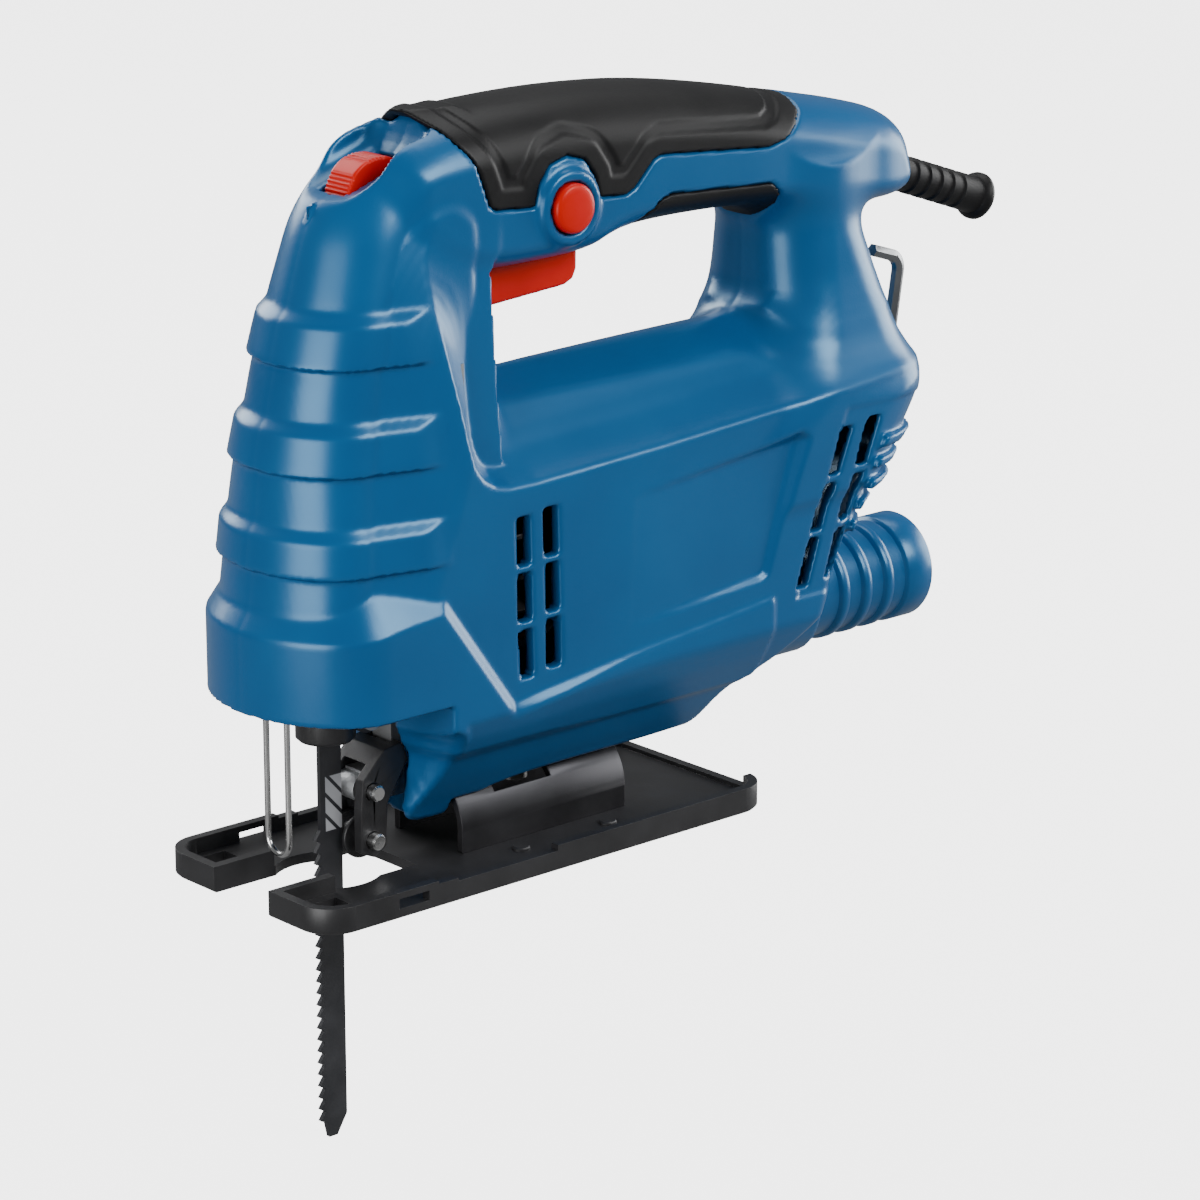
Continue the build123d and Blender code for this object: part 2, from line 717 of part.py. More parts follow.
for name, face in (("front_bearing", front_bearing_face - 1), ("rear_bearing", rear_bearing_face)):
    with BuildPart() as bearing:
        add(rod_along_x(face, face + bearing_width, bearing_radius, motor_axis))
        add(rod_along_x(face, face + bearing_width, shaft_radius + running_gap, motor_axis),
            mode=Mode.SUBTRACT)
        for groove in (face, face + bearing_width - 0.5):
            with BuildSketch(Plane.YZ.offset(groove)):
                with Locations((0, motor_axis)):
                    Circle(bearing_radius - 1.6)
                    Circle(shaft_radius + 1.6, mode=Mode.SUBTRACT)
            extrude(amount=0.5, mode=Mode.SUBTRACT)
    save(bearing.part, name)

brush_size = (6.0, 8.0)
brush_box_wall = 1.2
brush_outer_end = 22.5
commutator_middle = commutator_front + commutator_length / 2
for side, name in ((-1, "left"), (1, "right")):
    inner = commutator_radius + 0.1
    with BuildPart() as brush:
        with Locations((commutator_middle, side * (inner + 5.0), motor_axis)):
            Box(brush_size[0], 10.0, brush_size[1])
    save(brush.part, f"{name}_carbon_brush")
    with BuildPart() as holder:
        with Locations((commutator_middle, side * (inner + 2 + brush_outer_end) / 2, motor_axis)):
            Box(commutator_length, brush_outer_end - inner - 2, brush_size[1] + 2 * brush_box_wall)
            Box(brush_size[0], brush_outer_end - inner - 2, brush_size[1], mode=Mode.SUBTRACT)
        with Locations((commutator_middle, side * (brush_outer_end - 0.6), motor_axis)):
            Box(brush_size[0], 1.2, brush_size[1])
    save(holder.part, f"{name}_brush_holder")


# ---- crank drive ------------------------------------------------------------------------------------
gear_rear = gear_front + gear_width
gear_hub_radius = 8.0
with BuildPart() as drive_gear:
    add(toothed_disc(gear_front, gear_width, gear_axis, gear_teeth, -profile_shift, -87.0))
    add(rod_along_x(gear_rear, frame_plate[0] - 0.5, gear_hub_radius, gear_axis))
    add(rod_along_x(gear_front, 30, gear_pin_radius + running_gap, gear_axis), mode=Mode.SUBTRACT)
    add(rod_along_x(gear_front, gear_front + 5, crank_pin_radius, gear_axis - crank_radius),
        mode=Mode.SUBTRACT)
    with BuildSketch(Plane.YZ.offset(gear_front)):
        with Locations((0, gear_axis)):
            Circle(gear_module * gear_teeth / 2 - 2.6)
            Circle(crank_radius + crank_pin_radius + 1.5, mode=Mode.SUBTRACT)
    extrude(amount=1.5, mode=Mode.SUBTRACT)
save(drive_gear.part, "drive_gear")

with BuildPart() as gear_pin:
    add(rod_along_x(gear_front, frame_plate[1], gear_pin_radius, gear_axis))
    chamfer(gear_pin.faces().sort_by(Axis.X)[0].edges(), 0.4)
save(gear_pin.part, "gear_pin")

crank_end_gap = 0.5
with BuildPart() as crank_pin:
    add(rod_along_x(yoke_rear + crank_end_gap, gear_front + 5, crank_pin_radius,
                    gear_axis - crank_radius))
    chamfer(crank_pin.faces().sort_by(Axis.X)[0].edges(), 0.4)
save(crank_pin.part, "crank_pin")

yoke_height = gear_axis - crank_radius
yoke_thickness = 4.0
yoke_half_width = 15.5
with BuildPart() as yoke:
    with BuildSketch(Plane(origin=(yoke_rear - yoke_thickness, 0, yoke_height), x_dir=(0, 1, 0),
                           z_dir=(1, 0, 0))):
        RectangleRounded(2 * yoke_half_width, 12.0, 3.0)
        SlotOverall(2 * (crank_radius + crank_pin_radius) + 1, 2 * crank_pin_radius + 0.2,
                    mode=Mode.SUBTRACT)
    extrude(amount=yoke_thickness)
    add(beam(-plunger_radius - 2, yoke_rear - yoke_thickness, 5.5, yoke_height - 5,
             yoke_height + 5))
    with Locations((0, 0, yoke_height)):
        Cylinder(plunger_radius, 20, mode=Mode.SUBTRACT)
save(yoke.part, "scotch_yoke")

with BuildPart() as plunger:
    with Locations((0, 0, plunger_bottom + plunger_length / 2)):
        Cylinder(plunger_radius, plunger_length)
    chamfer(plunger.edges().filter_by(GeomType.CIRCLE).group_by(Axis.Z)[-1], 0.6)
save(plunger.part, "plunger")


# ---- blade and its clamp ------------------------------------------------------------------------
clamp_radius = 7.2
clamp_bottom = 35.5
lobe_radius = 4.0
lobe_x = 8.5
with BuildPart() as blade_clamp:
    with Locations((0, 0, (clamp_bottom + plunger_bottom) / 2)):
        Cylinder(clamp_radius, plunger_bottom - clamp_bottom)
    add(rod_along_y(lobe_x, clamp_bottom + 5, lobe_radius, -5.5, 5.5))
    chamfer(blade_clamp.faces().sort_by(Axis.Z)[0].edges(), 0.8)
    add(beam(-blade_width / 2, blade_width / 2, blade_thickness / 2, clamp_bottom - 5,
             blade_shank_top), mode=Mode.SUBTRACT)
    add(rod_along_y(lobe_x, clamp_bottom + 5, 1.75, -6, 6), mode=Mode.SUBTRACT)
save(blade_clamp.part, "blade_clamp")

with BuildPart() as clamp_screw:
    add(rod_along_y(lobe_x, clamp_bottom + 5, 1.75, -5.5, 5.5))
    add(rod_along_y(lobe_x, clamp_bottom + 5, 3.0, -7.5, -5.5))
    with BuildSketch(Plane(origin=(lobe_x, -7.5, clamp_bottom + 5), x_dir=(1, 0, 0),
                           z_dir=(0, 1, 0))):
        RegularPolygon(1.5, 6)
    extrude(amount=1.6, mode=Mode.SUBTRACT)
save(clamp_screw.part, "blade_clamp_screw")

tooth_count = 25
tooth_start = blade_tip + 4.0
blade_front = -blade_width / 2
with BuildPart() as blade:
    with BuildSketch(Plane.XZ.offset(-blade_thickness / 2)):
        with BuildLine():
            points = [(blade_front + tooth_depth, blade_shank_top),
                      (blade_front + tooth_depth, tooth_start + tooth_count * tooth_pitch)]
            for tooth in reversed(range(tooth_count)):
                foot = tooth_start + tooth * tooth_pitch
                points.append((blade_front, foot + 0.25 * tooth_pitch))
                points.append((blade_front + tooth_depth, foot))
            points += [(blade_front + 2.5, blade_tip), (blade_width / 2 - 3, blade_tip),
                       (blade_width / 2, blade_tip + 5), (blade_width / 2, blade_shank_top)]
            Polyline(*points, close=True)
        make_face()
    extrude(amount=blade_thickness)
save(blade.part, "saw_blade")


# ---- roller lever ---------------------------------------------------------------------------------
cheek_outer = cheek_inner + cheek_wall
lever_outline = [(5.0, 7.0), (9.0, 5.2), (12.5, 7.5), (13.0, 18.0), (19.5, 28.0), (17.5, 32.5),
                 (12.0, 31.5), (5.6, 25.0), (5.0, 18.0)]
with BuildPart() as roller_lever:
    add(side_prism(lever_outline, -cheek_outer, cheek_outer))
    add(beam(0, 14.0, cheek_inner, 0, 28), mode=Mode.SUBTRACT)
    add(beam(4, leg_rear + 1.0, cheek_inner, 0, 28), mode=Mode.SUBTRACT)
    add(beam(leg_front - 1.2, 30, cheek_inner, 0, 40), mode=Mode.SUBTRACT)
    for height in (pivot_height, roller_height):
        add(rod_along_y(pivot_x, height, pin_radius + running_gap, -20, 20), mode=Mode.SUBTRACT)
save(roller_lever.part, "roller_lever")

pin_half_length = 9.4
for name, height in (("lever_pivot_pin", pivot_height), ("roller_axle", roller_height)):
    with BuildPart() as pin:
        add(rod_along_y(pivot_x, height, pin_radius, -pin_half_length, pin_half_length))
        chamfer(pin.edges().filter_by(GeomType.CIRCLE), 0.4)
    save(pin.part, name)

with BuildPart() as guide_roller:
    with BuildSketch(Plane.YZ):
        with BuildLine():
            Polyline((-roller_half_width, pin_radius + running_gap),
                     (-roller_half_width, roller_flange_radius),
                     (-1.6, roller_flange_radius), (-blade_thickness / 2 - 0.3, roller_groove_radius),
                     (blade_thickness / 2 + 0.3, roller_groove_radius), (1.6, roller_flange_radius),
                     (roller_half_width, roller_flange_radius),
                     (roller_half_width, pin_radius + running_gap), close=True)
        make_face()
    revolve(axis=Axis.Y)
guide_roller.part.position = (pivot_x, 0, roller_height)
save(guide_roller.part, "guide_roller")


# ---- base plate, arch and its clamp ----------------------------------------------------------------
plate_length = plate_rear - plate_front
plate_middle = (plate_front + plate_rear) / 2
corner_radius = 9.0
fence_slot = (-4.0, 5.0)
front_window = (-20.5, -10.5, 16.0, 27.0)
with BuildPart() as base_plate:
    with BuildSketch(Plane.XY):
        with Locations((plate_middle, 0)):
            RectangleRounded(plate_length, 2 * plate_half_width, corner_radius)
    extrude(amount=lip_height)
    with BuildSketch(Plane.XY.offset(plate_thickness)):
        with Locations((plate_middle, 0)):
            RectangleRounded(plate_length - 2 * lip_wall, 2 * (plate_half_width - lip_wall),
                             corner_radius - lip_wall)
    extrude(amount=lip_height, mode=Mode.SUBTRACT)
    chamfer(base_plate.faces().sort_by(Axis.Z)[0].edges(), 0.6)
    # blade opening, the gap in front of it and the notch behind it for the roller
    Cylinder(blade_opening_radius, 4 * lip_height, mode=Mode.SUBTRACT)
    add(beam(plate_front - 5, 0, front_gap_half_width, -5, 20), mode=Mode.SUBTRACT)
    add(beam(0, roller_notch_rear, roller_notch_half_width, -5, 20), mode=Mode.SUBTRACT)
    # lower stretches of the side lips and of the rear lip
    add(beam(low_lip[0], low_lip[1], 60, lip_height - 2 * low_lip_step, lip_height + 5), mode=Mode.SUBTRACT)
    add(beam(low_lip[0] - 6, low_lip[0] + 1, 60, lip_height - low_lip_step, lip_height + 5),
        mode=Mode.SUBTRACT)
    add(beam(plate_rear - 8, plate_rear + 5, rear_lip_half_width, rear_lip_height, lip_height + 5),
        mode=Mode.SUBTRACT)
    # lips beside the opening
    add(beam(plate_front + 1, -8, front_gap_half_width + lip_wall, plate_thickness, lip_height))
    add(beam(plate_front - 5, 0, front_gap_half_width, -5, 20), mode=Mode.SUBTRACT)
    # windows in the front corners and the fence slots through both lips
    for side in (-1, 1):
        with Locations(((front_window[0] + front_window[1]) / 2,
                        side * (front_window[2] + front_window[3]) / 2, 0)):
            Box(front_window[1] - front_window[0], front_window[3] - front_window[2], 20,
                mode=Mode.SUBTRACT)
    add(beam(fence_slot[0], fence_slot[1], 60, plate_thickness, plate_thickness + 2.4),
        mode=Mode.SUBTRACT)
save(base_plate.part, "base_plate")

window_half_angle = bevel_limit + degrees(asin((clamp_screw_radius + 0.2) / (arch_radius - arch_wall)))
arch_window = (clamp_screw_x - shift_range - 3.0, clamp_screw_x + 3.0)


def arch_sector(radius_in, radius_out, x0, x1, half_angle):
    """A bent strip round the tilt axis, half_angle each side of straight up."""
    with BuildPart() as strip:
        with BuildSketch(Plane.YZ.offset(x0)):
            with Locations((0, bevel_height)):
                Circle(radius_out)
                Circle(radius_in, mode=Mode.SUBTRACT)
            with BuildLine():
                reach = 3 * radius_out
                left = (-reach * sin(radians(half_angle)),
                        bevel_height + reach * cos(radians(half_angle)))
                right = (-left[0], left[1])
                Polyline((0, bevel_height), left, (left[0], left[1] + reach),
                         (right[0], right[1] + reach), right, close=True)
            make_face(mode=Mode.INTERSECT)
        extrude(amount=x1 - x0)
    return strip.part


with BuildPart() as bevel_arch:
    with BuildSketch(Plane.YZ.offset(arch_front)):
        with Locations((0, bevel_height)):
            Circle(arch_radius)
        with Locations((0, (bevel_height + plate_thickness) / 2)):
            Rectangle(2 * arch_radius, bevel_height - plate_thickness)
        with Locations((0, bevel_height)):
            Circle(arch_radius - arch_wall, mode=Mode.SUBTRACT)
        with Locations((0, bevel_height - 10)):
            Rectangle(2 * (arch_radius - arch_wall), 20, mode=Mode.SUBTRACT)
        with Locations((0, plate_thickness - 10)):
            Rectangle(4 * arch_radius, 20, mode=Mode.SUBTRACT)
    extrude(amount=arch_length)
    add(arch_sector(arch_radius - arch_wall - 1, arch_radius + 1, arch_window[0], arch_window[1],
                    window_half_angle), mode=Mode.SUBTRACT)
save(bevel_arch.part, "bevel_arch")

clamp_plate_wall = 2.0
clamp_plate_outer = arch_radius - arch_wall - 0.1
clamp_plate_span = (clamp_screw_x - shift_range - 6, clamp_screw_x + 6)
with BuildPart() as clamp_plate:
    add(arch_sector(clamp_plate_outer - clamp_plate_wall, clamp_plate_outer, clamp_plate_span[0],
                    clamp_plate_span[1], 35))
    with BuildSketch(Plane.XY.offset(bevel_height)):
        with Locations((clamp_screw_x - shift_range / 2, 0)):
            SlotOverall(shift_range + 2 * (clamp_screw_radius + fit_gap),
                        2 * (clamp_screw_radius + fit_gap))
    extrude(amount=20, mode=Mode.SUBTRACT)
save(clamp_plate.part, "shoe_clamp_plate")

with BuildPart() as shoe_screw:
    head_top = bevel_height + clamp_plate_outer - clamp_plate_wall - 0.8
    with Locations((clamp_screw_x, 0, (shoe_screw_top + head_top) / 2)):
        Cylinder(clamp_screw_radius, shoe_screw_top - head_top)
    with Locations((clamp_screw_x, 0, head_top - 1.5)):
        Cylinder(3.6, 3.0)
    with BuildSketch(Plane.XY.offset(head_top - 3)):
        with Locations((clamp_screw_x, 0)):
            RegularPolygon(1.7, 6)
    extrude(amount=2, mode=Mode.SUBTRACT)
save(shoe_screw.part, "shoe_clamp_screw")

rivet_places = [(44.0, -19.5), (72.0, -19.5), (44.0, 19.5), (72.0, 19.5)]
for number, (x, y) in enumerate(rivet_places, 1):
    with BuildPart() as rivet:
        with Locations((x, y, plate_thickness + 0.4)):
            Cylinder(2.2, 0.8)
        chamfer(rivet.faces().sort_by(Axis.Z)[-1].edges(), 0.3)
    save(rivet.part, f"plate_rivet_{number}")


# ---- controls ---------------------------------------------------------------------------------------
trigger_outline = [(38.2, 146.0), (38.2, 137.5), (39.0, 131.5), (42.5, 134.0), (69.0, 136.0),
                   (72.5, 139.0), (73.0, 148.5), (46.0, 150.0), (44.0, 152.0), (39.5, 152.0)]
with BuildPart() as trigger:
    add(side_prism(trigger_outline, -trigger_half_width, trigger_half_width))
    fillet(trigger.edges().filter_by(Axis.Y).sort_by(Axis.Z)[:4], 1.0)
    add(rod_along_y(trigger_pin_x, trigger_pin_height, trigger_pin_radius + running_gap, -20, 20),
        mode=Mode.SUBTRACT)
save(trigger.part, "trigger")

with BuildPart() as trigger_pin:
    add(rod_along_y(trigger_pin_x, trigger_pin_height, trigger_pin_radius,
                    -trigger_pin_half_length, trigger_pin_half_length))
save(trigger_pin.part, "trigger_pin")

with BuildPart() as switch_body:
    add(switch_block)
    chamfer(switch_body.edges().filter_by(Axis.X), 0.8)
save(switch_body.part, "switch_body")

button_face = -22.0
button_inner_end = -switch_box[2] - button_travel - 0.4
with BuildPart() as lock_button:
    add(rod_along_y(button_x, button_height, button_radius, button_face, button_inner_end - 3))
    add(rod_along_y(button_x, button_height, button_radius - 3, button_inner_end - 3,
                    button_inner_end))
    fillet(lock_button.faces().sort_by(Axis.Y)[0].edges(), 1.2)
save(lock_button.part, "lock_button")

dial_knurls = 24
dial_axle_radius = 1.5
with BuildPart() as speed_dial:
    add(rod_along_y(dial_x, dial_height, dial_radius, -dial_half_width, dial_half_width))
    chamfer(speed_dial.edges().filter_by(GeomType.CIRCLE), 0.6)
    with BuildSketch(Plane.XZ.offset(-dial_half_width)):
        with Locations((dial_x, dial_height)):
            with PolarLocations(dial_radius, dial_knurls):
                Rectangle(0.7, 0.9)
    extrude(amount=2 * dial_half_width, mode=Mode.SUBTRACT)
    add(rod_along_y(dial_x, dial_height, dial_axle_radius, dial_half_width,
                    board_side + board_thickness))
save(speed_dial.part, "speed_dial")

with BuildPart() as speed_board:
    add(board_blank)
    add(rod_along_y(dial_x, dial_height, dial_axle_radius + running_gap, 0, 20),
        mode=Mode.SUBTRACT)
save(speed_board.part, "speed_board")


# ---- cord entry, outlet, guard and stored key -----------------------------------------------------
with BuildPart() as cord_sleeve:
    for start, length, radius in ((-10.0, sleeve_length + 10, sleeve_radius),
                                  (-10.0, 4.0, sleeve_radius + sleeve_flange),
                                  (sleeve_length - 2.5, 2.5, sleeve_radius + 1.4)):
        with BuildSketch(sleeve_plane.offset(start)):
            Circle(radius)
        extrude(amount=length)
    with BuildSketch(sleeve_plane.offset(-12)):
        Circle(cable_radius)
    extrude(amount=sleeve_length + 20, mode=Mode.SUBTRACT)
save(cord_sleeve.part, "cord_sleeve")

with BuildPart() as cord_clamp:
    add(cord_clamp_block)
    add(rod_along_x(cord_clamp_box[0] - 1, cord_clamp_box[1] + 1, cable_radius, cord_clamp_box[4]),
        mode=Mode.SUBTRACT)
save(cord_clamp.part, "cord_clamp")

port_ribs = [158.0, 166.0, 174.0, 182.0]
port_rib_width = 3.0
with BuildPart() as dust_port:
    add(rod_along_x(port_front, port_rear, port_radius, port_height))
    for x in port_ribs:
        add(rod_along_x(x, x + port_rib_width, port_radius + 1.0, port_height))
    add(rod_along_x(port_front - 1, port_rear + 1, port_radius - port_wall, port_height),
        mode=Mode.SUBTRACT)
save(dust_port.part, "dust_port")

with BuildPart() as wire_guard:
    with BuildLine() as guard_path:
        FilletPolyline((guard_x, -guard_half_width, guard_top - 1),
                       (guard_x, -guard_half_width, guard_bottom),
                       (guard_x, guard_half_width, guard_bottom),
                       (guard_x, guard_half_width, guard_top - 1),
                       radius=guard_half_width - 0.1)
    with BuildSketch(Plane(origin=(guard_x, -guard_half_width, guard_top - 1),
                           z_dir=(0, 0, -1))):
        Circle(guard_wire)
    sweep()
save(wire_guard.part, "wire_guard")

key_foot = key_corner - key_direction * key_length
key_tip = key_corner + Vector(-cos(radians(key_arm_rise)), 0, sin(radians(key_arm_rise))) * key_short_arm
with BuildPart() as hex_key:
    with BuildLine() as key_path:
        FilletPolyline(key_foot, key_corner, key_tip, radius=key_bend)
    with BuildSketch(Plane(origin=key_foot, x_dir=(0, 1, 0), z_dir=key_direction)):
        RegularPolygon(key_corner_radius, 6)
    sweep()
save(hex_key.part, "hex_key")


# ---- housing screws -------------------------------------------------------------------------------
for number, (x, z, head) in enumerate(screw_places, 1):
    with BuildPart() as screw:
        add(rod_along_y(x, z, screw_radius, screw_end, head))
        add(rod_along_y(x, z, screw_head_radius, head, head + screw_head))
        with BuildSketch(Plane.XZ.offset(-head - screw_head)):
            with Locations((x, z)):
                RegularPolygon(1.4, 6)
        extrude(amount=1.4, mode=Mode.SUBTRACT)
    save(screw.part, f"housing_screw_{number}")
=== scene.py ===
import json
import math
import bpy
import numpy as np
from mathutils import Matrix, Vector

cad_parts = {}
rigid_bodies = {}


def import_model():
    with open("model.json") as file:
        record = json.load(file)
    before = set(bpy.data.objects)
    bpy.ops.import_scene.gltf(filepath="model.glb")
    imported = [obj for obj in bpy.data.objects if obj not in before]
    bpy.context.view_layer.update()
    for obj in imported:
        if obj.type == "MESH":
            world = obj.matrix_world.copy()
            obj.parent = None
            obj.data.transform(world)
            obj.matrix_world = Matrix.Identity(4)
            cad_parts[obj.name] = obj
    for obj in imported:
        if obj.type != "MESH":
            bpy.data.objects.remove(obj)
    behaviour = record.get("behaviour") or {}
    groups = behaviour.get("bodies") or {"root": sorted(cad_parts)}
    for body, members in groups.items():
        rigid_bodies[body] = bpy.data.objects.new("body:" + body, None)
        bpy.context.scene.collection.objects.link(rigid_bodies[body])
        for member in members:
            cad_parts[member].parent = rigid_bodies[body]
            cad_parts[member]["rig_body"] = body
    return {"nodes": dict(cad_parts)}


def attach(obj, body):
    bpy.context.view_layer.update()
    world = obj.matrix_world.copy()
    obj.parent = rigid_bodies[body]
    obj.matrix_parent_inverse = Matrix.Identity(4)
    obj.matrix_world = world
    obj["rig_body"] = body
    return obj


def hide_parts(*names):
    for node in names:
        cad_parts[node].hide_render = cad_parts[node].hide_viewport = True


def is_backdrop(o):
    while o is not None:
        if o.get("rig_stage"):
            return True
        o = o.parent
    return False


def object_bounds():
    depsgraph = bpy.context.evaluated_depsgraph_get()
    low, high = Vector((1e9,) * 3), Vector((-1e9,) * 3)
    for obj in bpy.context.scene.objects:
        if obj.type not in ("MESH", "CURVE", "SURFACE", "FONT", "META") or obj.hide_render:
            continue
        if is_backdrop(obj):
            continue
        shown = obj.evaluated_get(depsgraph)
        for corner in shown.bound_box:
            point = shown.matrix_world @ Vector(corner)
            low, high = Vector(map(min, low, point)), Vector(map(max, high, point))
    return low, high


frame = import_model()
cad_low, cad_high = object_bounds()
nodes = frame["nodes"]

# ---- Housing halves ------------------------------------------------------------------------
# Two glass-filled nylon mouldings that meet on the middle plane and are held by seven screws.
# The round nose, flared cheeks, flat flanks, keel, rear post and handle bar flow into each other,
# so the whole body is one distance field in millimetres, and each half is the skin of that field.

MM = 0.001
WALL, SOFT_DEPTH = 2.4, 2.2             # wall of the mouldings, depth of the soft layer
NOSE_BOTTOM, FOOT_FRONT = 47.0, 15.0    # underside of the nose, front of the foot
SIDE_PLANE, LOWER_PLANE = 29.0, 30.0    # half width of the flanks and of the collar


def curve(points, at, blur=3.0):
    """A smooth line through (place, value) points, read at the given places."""
    places, values = np.array(points, float).T
    fine = np.arange(places[0] - 20, places[-1] + 20, 0.5)
    reach = int(4 * blur) + 1
    kernel = np.exp(-((np.arange(-reach, reach + 1) * 0.5) ** 2) / (2 * blur * blur + 1e-6))
    line = np.interp(fine, places, values)
    line = np.convolve(np.pad(line, reach, mode="edge"), kernel / kernel.sum(), "valid")
    return np.interp(at, fine, line).astype(np.float32)


def rounded(points, rounds=3):
    """A closed outline with its corners cut again and again until it is round."""
    p = np.array(points, float)
    for _ in range(rounds):
        after = np.roll(p, -1, axis=0)
        p = np.stack([p * 0.75 + after * 0.25, p * 0.25 + after * 0.75], 1).reshape(-1, 2)
    return p


def outline_distance(points, X, Z):
    """Distance in the side plane to a closed outline, negative inside it."""
    nearest = np.full(np.broadcast(X, Z).shape, 1e9, np.float32)
    inside = np.zeros(nearest.shape, bool)
    p = np.array(points, float)
    for (x0, z0), (x1, z1) in zip(p, np.roll(p, -1, axis=0)):
        ex, ez = x1 - x0, z1 - z0
        t = np.clip(((X - x0) * ex + (Z - z0) * ez) / (ex * ex + ez * ez + 1e-9), 0, 1)
        nearest = np.minimum(nearest, (X - x0 - t * ex) ** 2 + (Z - z0 - t * ez) ** 2)
        rise = ez if abs(ez) > 1e-9 else 1e-9
        inside ^= ((z0 > Z) != (z1 > Z)) & (X < ex * (Z - z0) / rise + x0)
    return np.where(inside, -np.sqrt(nearest), np.sqrt(nearest)).astype(np.float32)


def line_distance(points, X, Z):
    """Distance to an open line, positive on its left hand side."""
    nearest = np.full(np.broadcast(X, Z).shape, 1e9, np.float32)
    side = np.ones(nearest.shape, np.float32)
    p = np.array(points, float)
    for (x0, z0), (x1, z1) in zip(p[:-1], p[1:]):
        ex, ez = x1 - x0, z1 - z0
        t = np.clip(((X - x0) * ex + (Z - z0) * ez) / (ex * ex + ez * ez), 0, 1)
        gap = (X - x0 - t * ex) ** 2 + (Z - z0 - t * ez) ** 2
        left = np.sign(ex * (Z - z0) - ez * (X - x0))
        closer = gap < nearest
        nearest = np.where(closer, gap, nearest)
        side = np.where(closer, left, side)
    return np.sqrt(nearest) * side


def smooth(t):
    """An eased step from 0 to 1."""
    t = np.clip(t, 0, 1)
    return t * t * (3 - 2 * t)


def join(a, b, k):
    """Union of two fields with a fillet of about k."""
    h = np.clip(k - np.abs(a - b), 0, None) / k
    return np.minimum(a, b) - h * h * k * 0.25


def carve(a, b, k):
    """Field a with the inside of b taken out, and the new edge eased over about k."""
    h = np.clip(k - np.abs(a + b), 0, None) / k
    return np.maximum(a, -b) + h * h * k * 0.25


def meet(a, b, corner):
    """The part inside both fields, with the edge between them rounded."""
    a, b = a + corner, b + corner
    outer = np.hypot(np.clip(a, 0, None), np.clip(b, 0, None))
    return outer + np.minimum(np.maximum(a, b), 0) - corner


def even(field, step):
    """A field scaled so that it reads as a distance near its surface."""
    gx, gy, gz = np.gradient(field.astype(np.float32), step)
    return field / np.clip(np.sqrt(gx * gx + gy * gy + gz * gz), 1e-3, None)


def block(X, Y, Z, low, high, corner=0.0):
    """Distance to a box with eased edges."""
    q = [np.abs(v - (a + b) / 2) - (b - a) / 2 + corner for v, a, b in zip((X, Y, Z), low, high)]
    outer = np.sqrt(sum(np.clip(v, 0, None) ** 2 for v in q))
    return outer + np.minimum(np.maximum(np.maximum(q[0], q[1]), q[2]), 0) - corner


def relief(Y, inset, half_width, roll):
    """A body with an outline in the side plane (inset is negative inside) whose flat sides lie at
    half_width and roll over to the outline within roll of it."""
    edge = np.clip((roll + inset) / roll, 0, None)
    return np.sqrt(edge ** 2 + (Y / half_width) ** 2) - 1


NOSE = {
    "front": [(40, -22), (71, -22), (103, -18.5), (125, -14), (143, -8.8), (158, -4), (163, -1.5),
              (171.5, 5), (177, 11.5), (180.4, 18), (184, 27)],
    "centre": [(40, -6), (71, -6), (92, -4.5), (106, -2.5), (117, 0), (132, 3), (142, 6), (159, 12),
               (166, 16), (172, 20), (178, 26), (184, 34)],
    "half": [(40, 25), (71, 24.6), (92, 22.8), (106, 21.4), (117, 20.2), (132, 19.1), (142, 18.3),
             (159, 16.6), (166, 14.8), (172, 12.4), (178, 8.5), (184, 3)],
}
CHEEK = {
    "start": [(40, -5.8), (72, -5.8), (92, -4.4), (106, -2.3), (117, 0), (132, 2.8), (142, 5.4),
              (150, 8), (159, 11.5), (170, 15)],
    "width": [(40, 24.5), (72, 24.5), (92, 22.5), (106, 21.2), (117, 19.9), (132, 18.8), (142, 17.9),
              (150, 17.5), (159, 16.4), (170, 15)],
    "flare": [(40, 0.22), (72, 0.22), (92, 0.24), (106, 0.27), (117, 0.30), (132, 0.34), (142, 0.33),
              (150, 0.25), (159, 0.22), (170, 0.2)],
    "cap": [(97, 29), (106, 29), (117, 27.8), (132, 25), (142, 22.4), (150, 20.4), (159, 19.2),
            (170, 18.4)],
}
RIDGE = [(15.5, 175), (15.8, 150), (16.4, 142), (17.7, 132), (20.6, 117), (22.6, 107), (24.2, 102.5),
         (26.8, 99), (30, 97.1), (34, 96.3), (43, 96.3), (79, 98.4), (124, 101.3), (180, 105)]
RIDGE_DROP = [(-2, 0), (0, 0), (1, 2.2), (3, 5.2), (6, 8.8), (10, 12.6), (15, 16.8), (19, 20.5),
              (23, 25)]
BODY_OUTLINE = [(-10, 38), (13, 40), (18, 37), (18.5, 26), (14.5, 11), (33, 10.8), (37, 12.5),
                (44, 17), (103, 17), (108, 18.5), (112.5, 26), (119, 29), (141, 34), (147, 42),
                (151, 51), (178, 97), (180, 108), (150, 119), (100, 118.8), (60, 118),
                (44, 117.5), (38.5, 120), (37.5, 128), (37.5, 150), (36, 161), (28, 165.3),
                (19, 163.8), (12, 161), (8, 158), (4.5, 150), (1.5, 142), (-1, 132), (-4, 117),
                (-7, 106), (-9, 92), (-10, 72)]
HANDLE_OUTLINE = [(10, 160), (8, 168), (10.5, 176), (18, 180.4), (37.5, 183), (62, 184),
                  (80, 183.4), (100, 181.6), (125, 177.4), (150, 172), (166, 168.6), (178, 165),
                  (183, 160), (184.5, 152), (184.5, 148), (182, 143.8), (172, 142), (150, 144.6),
                  (125, 147.4), (100, 148), (84, 147.4), (78, 146), (72, 143.6), (60, 143),
                  (37.5, 143), (24, 147), (14, 154)]
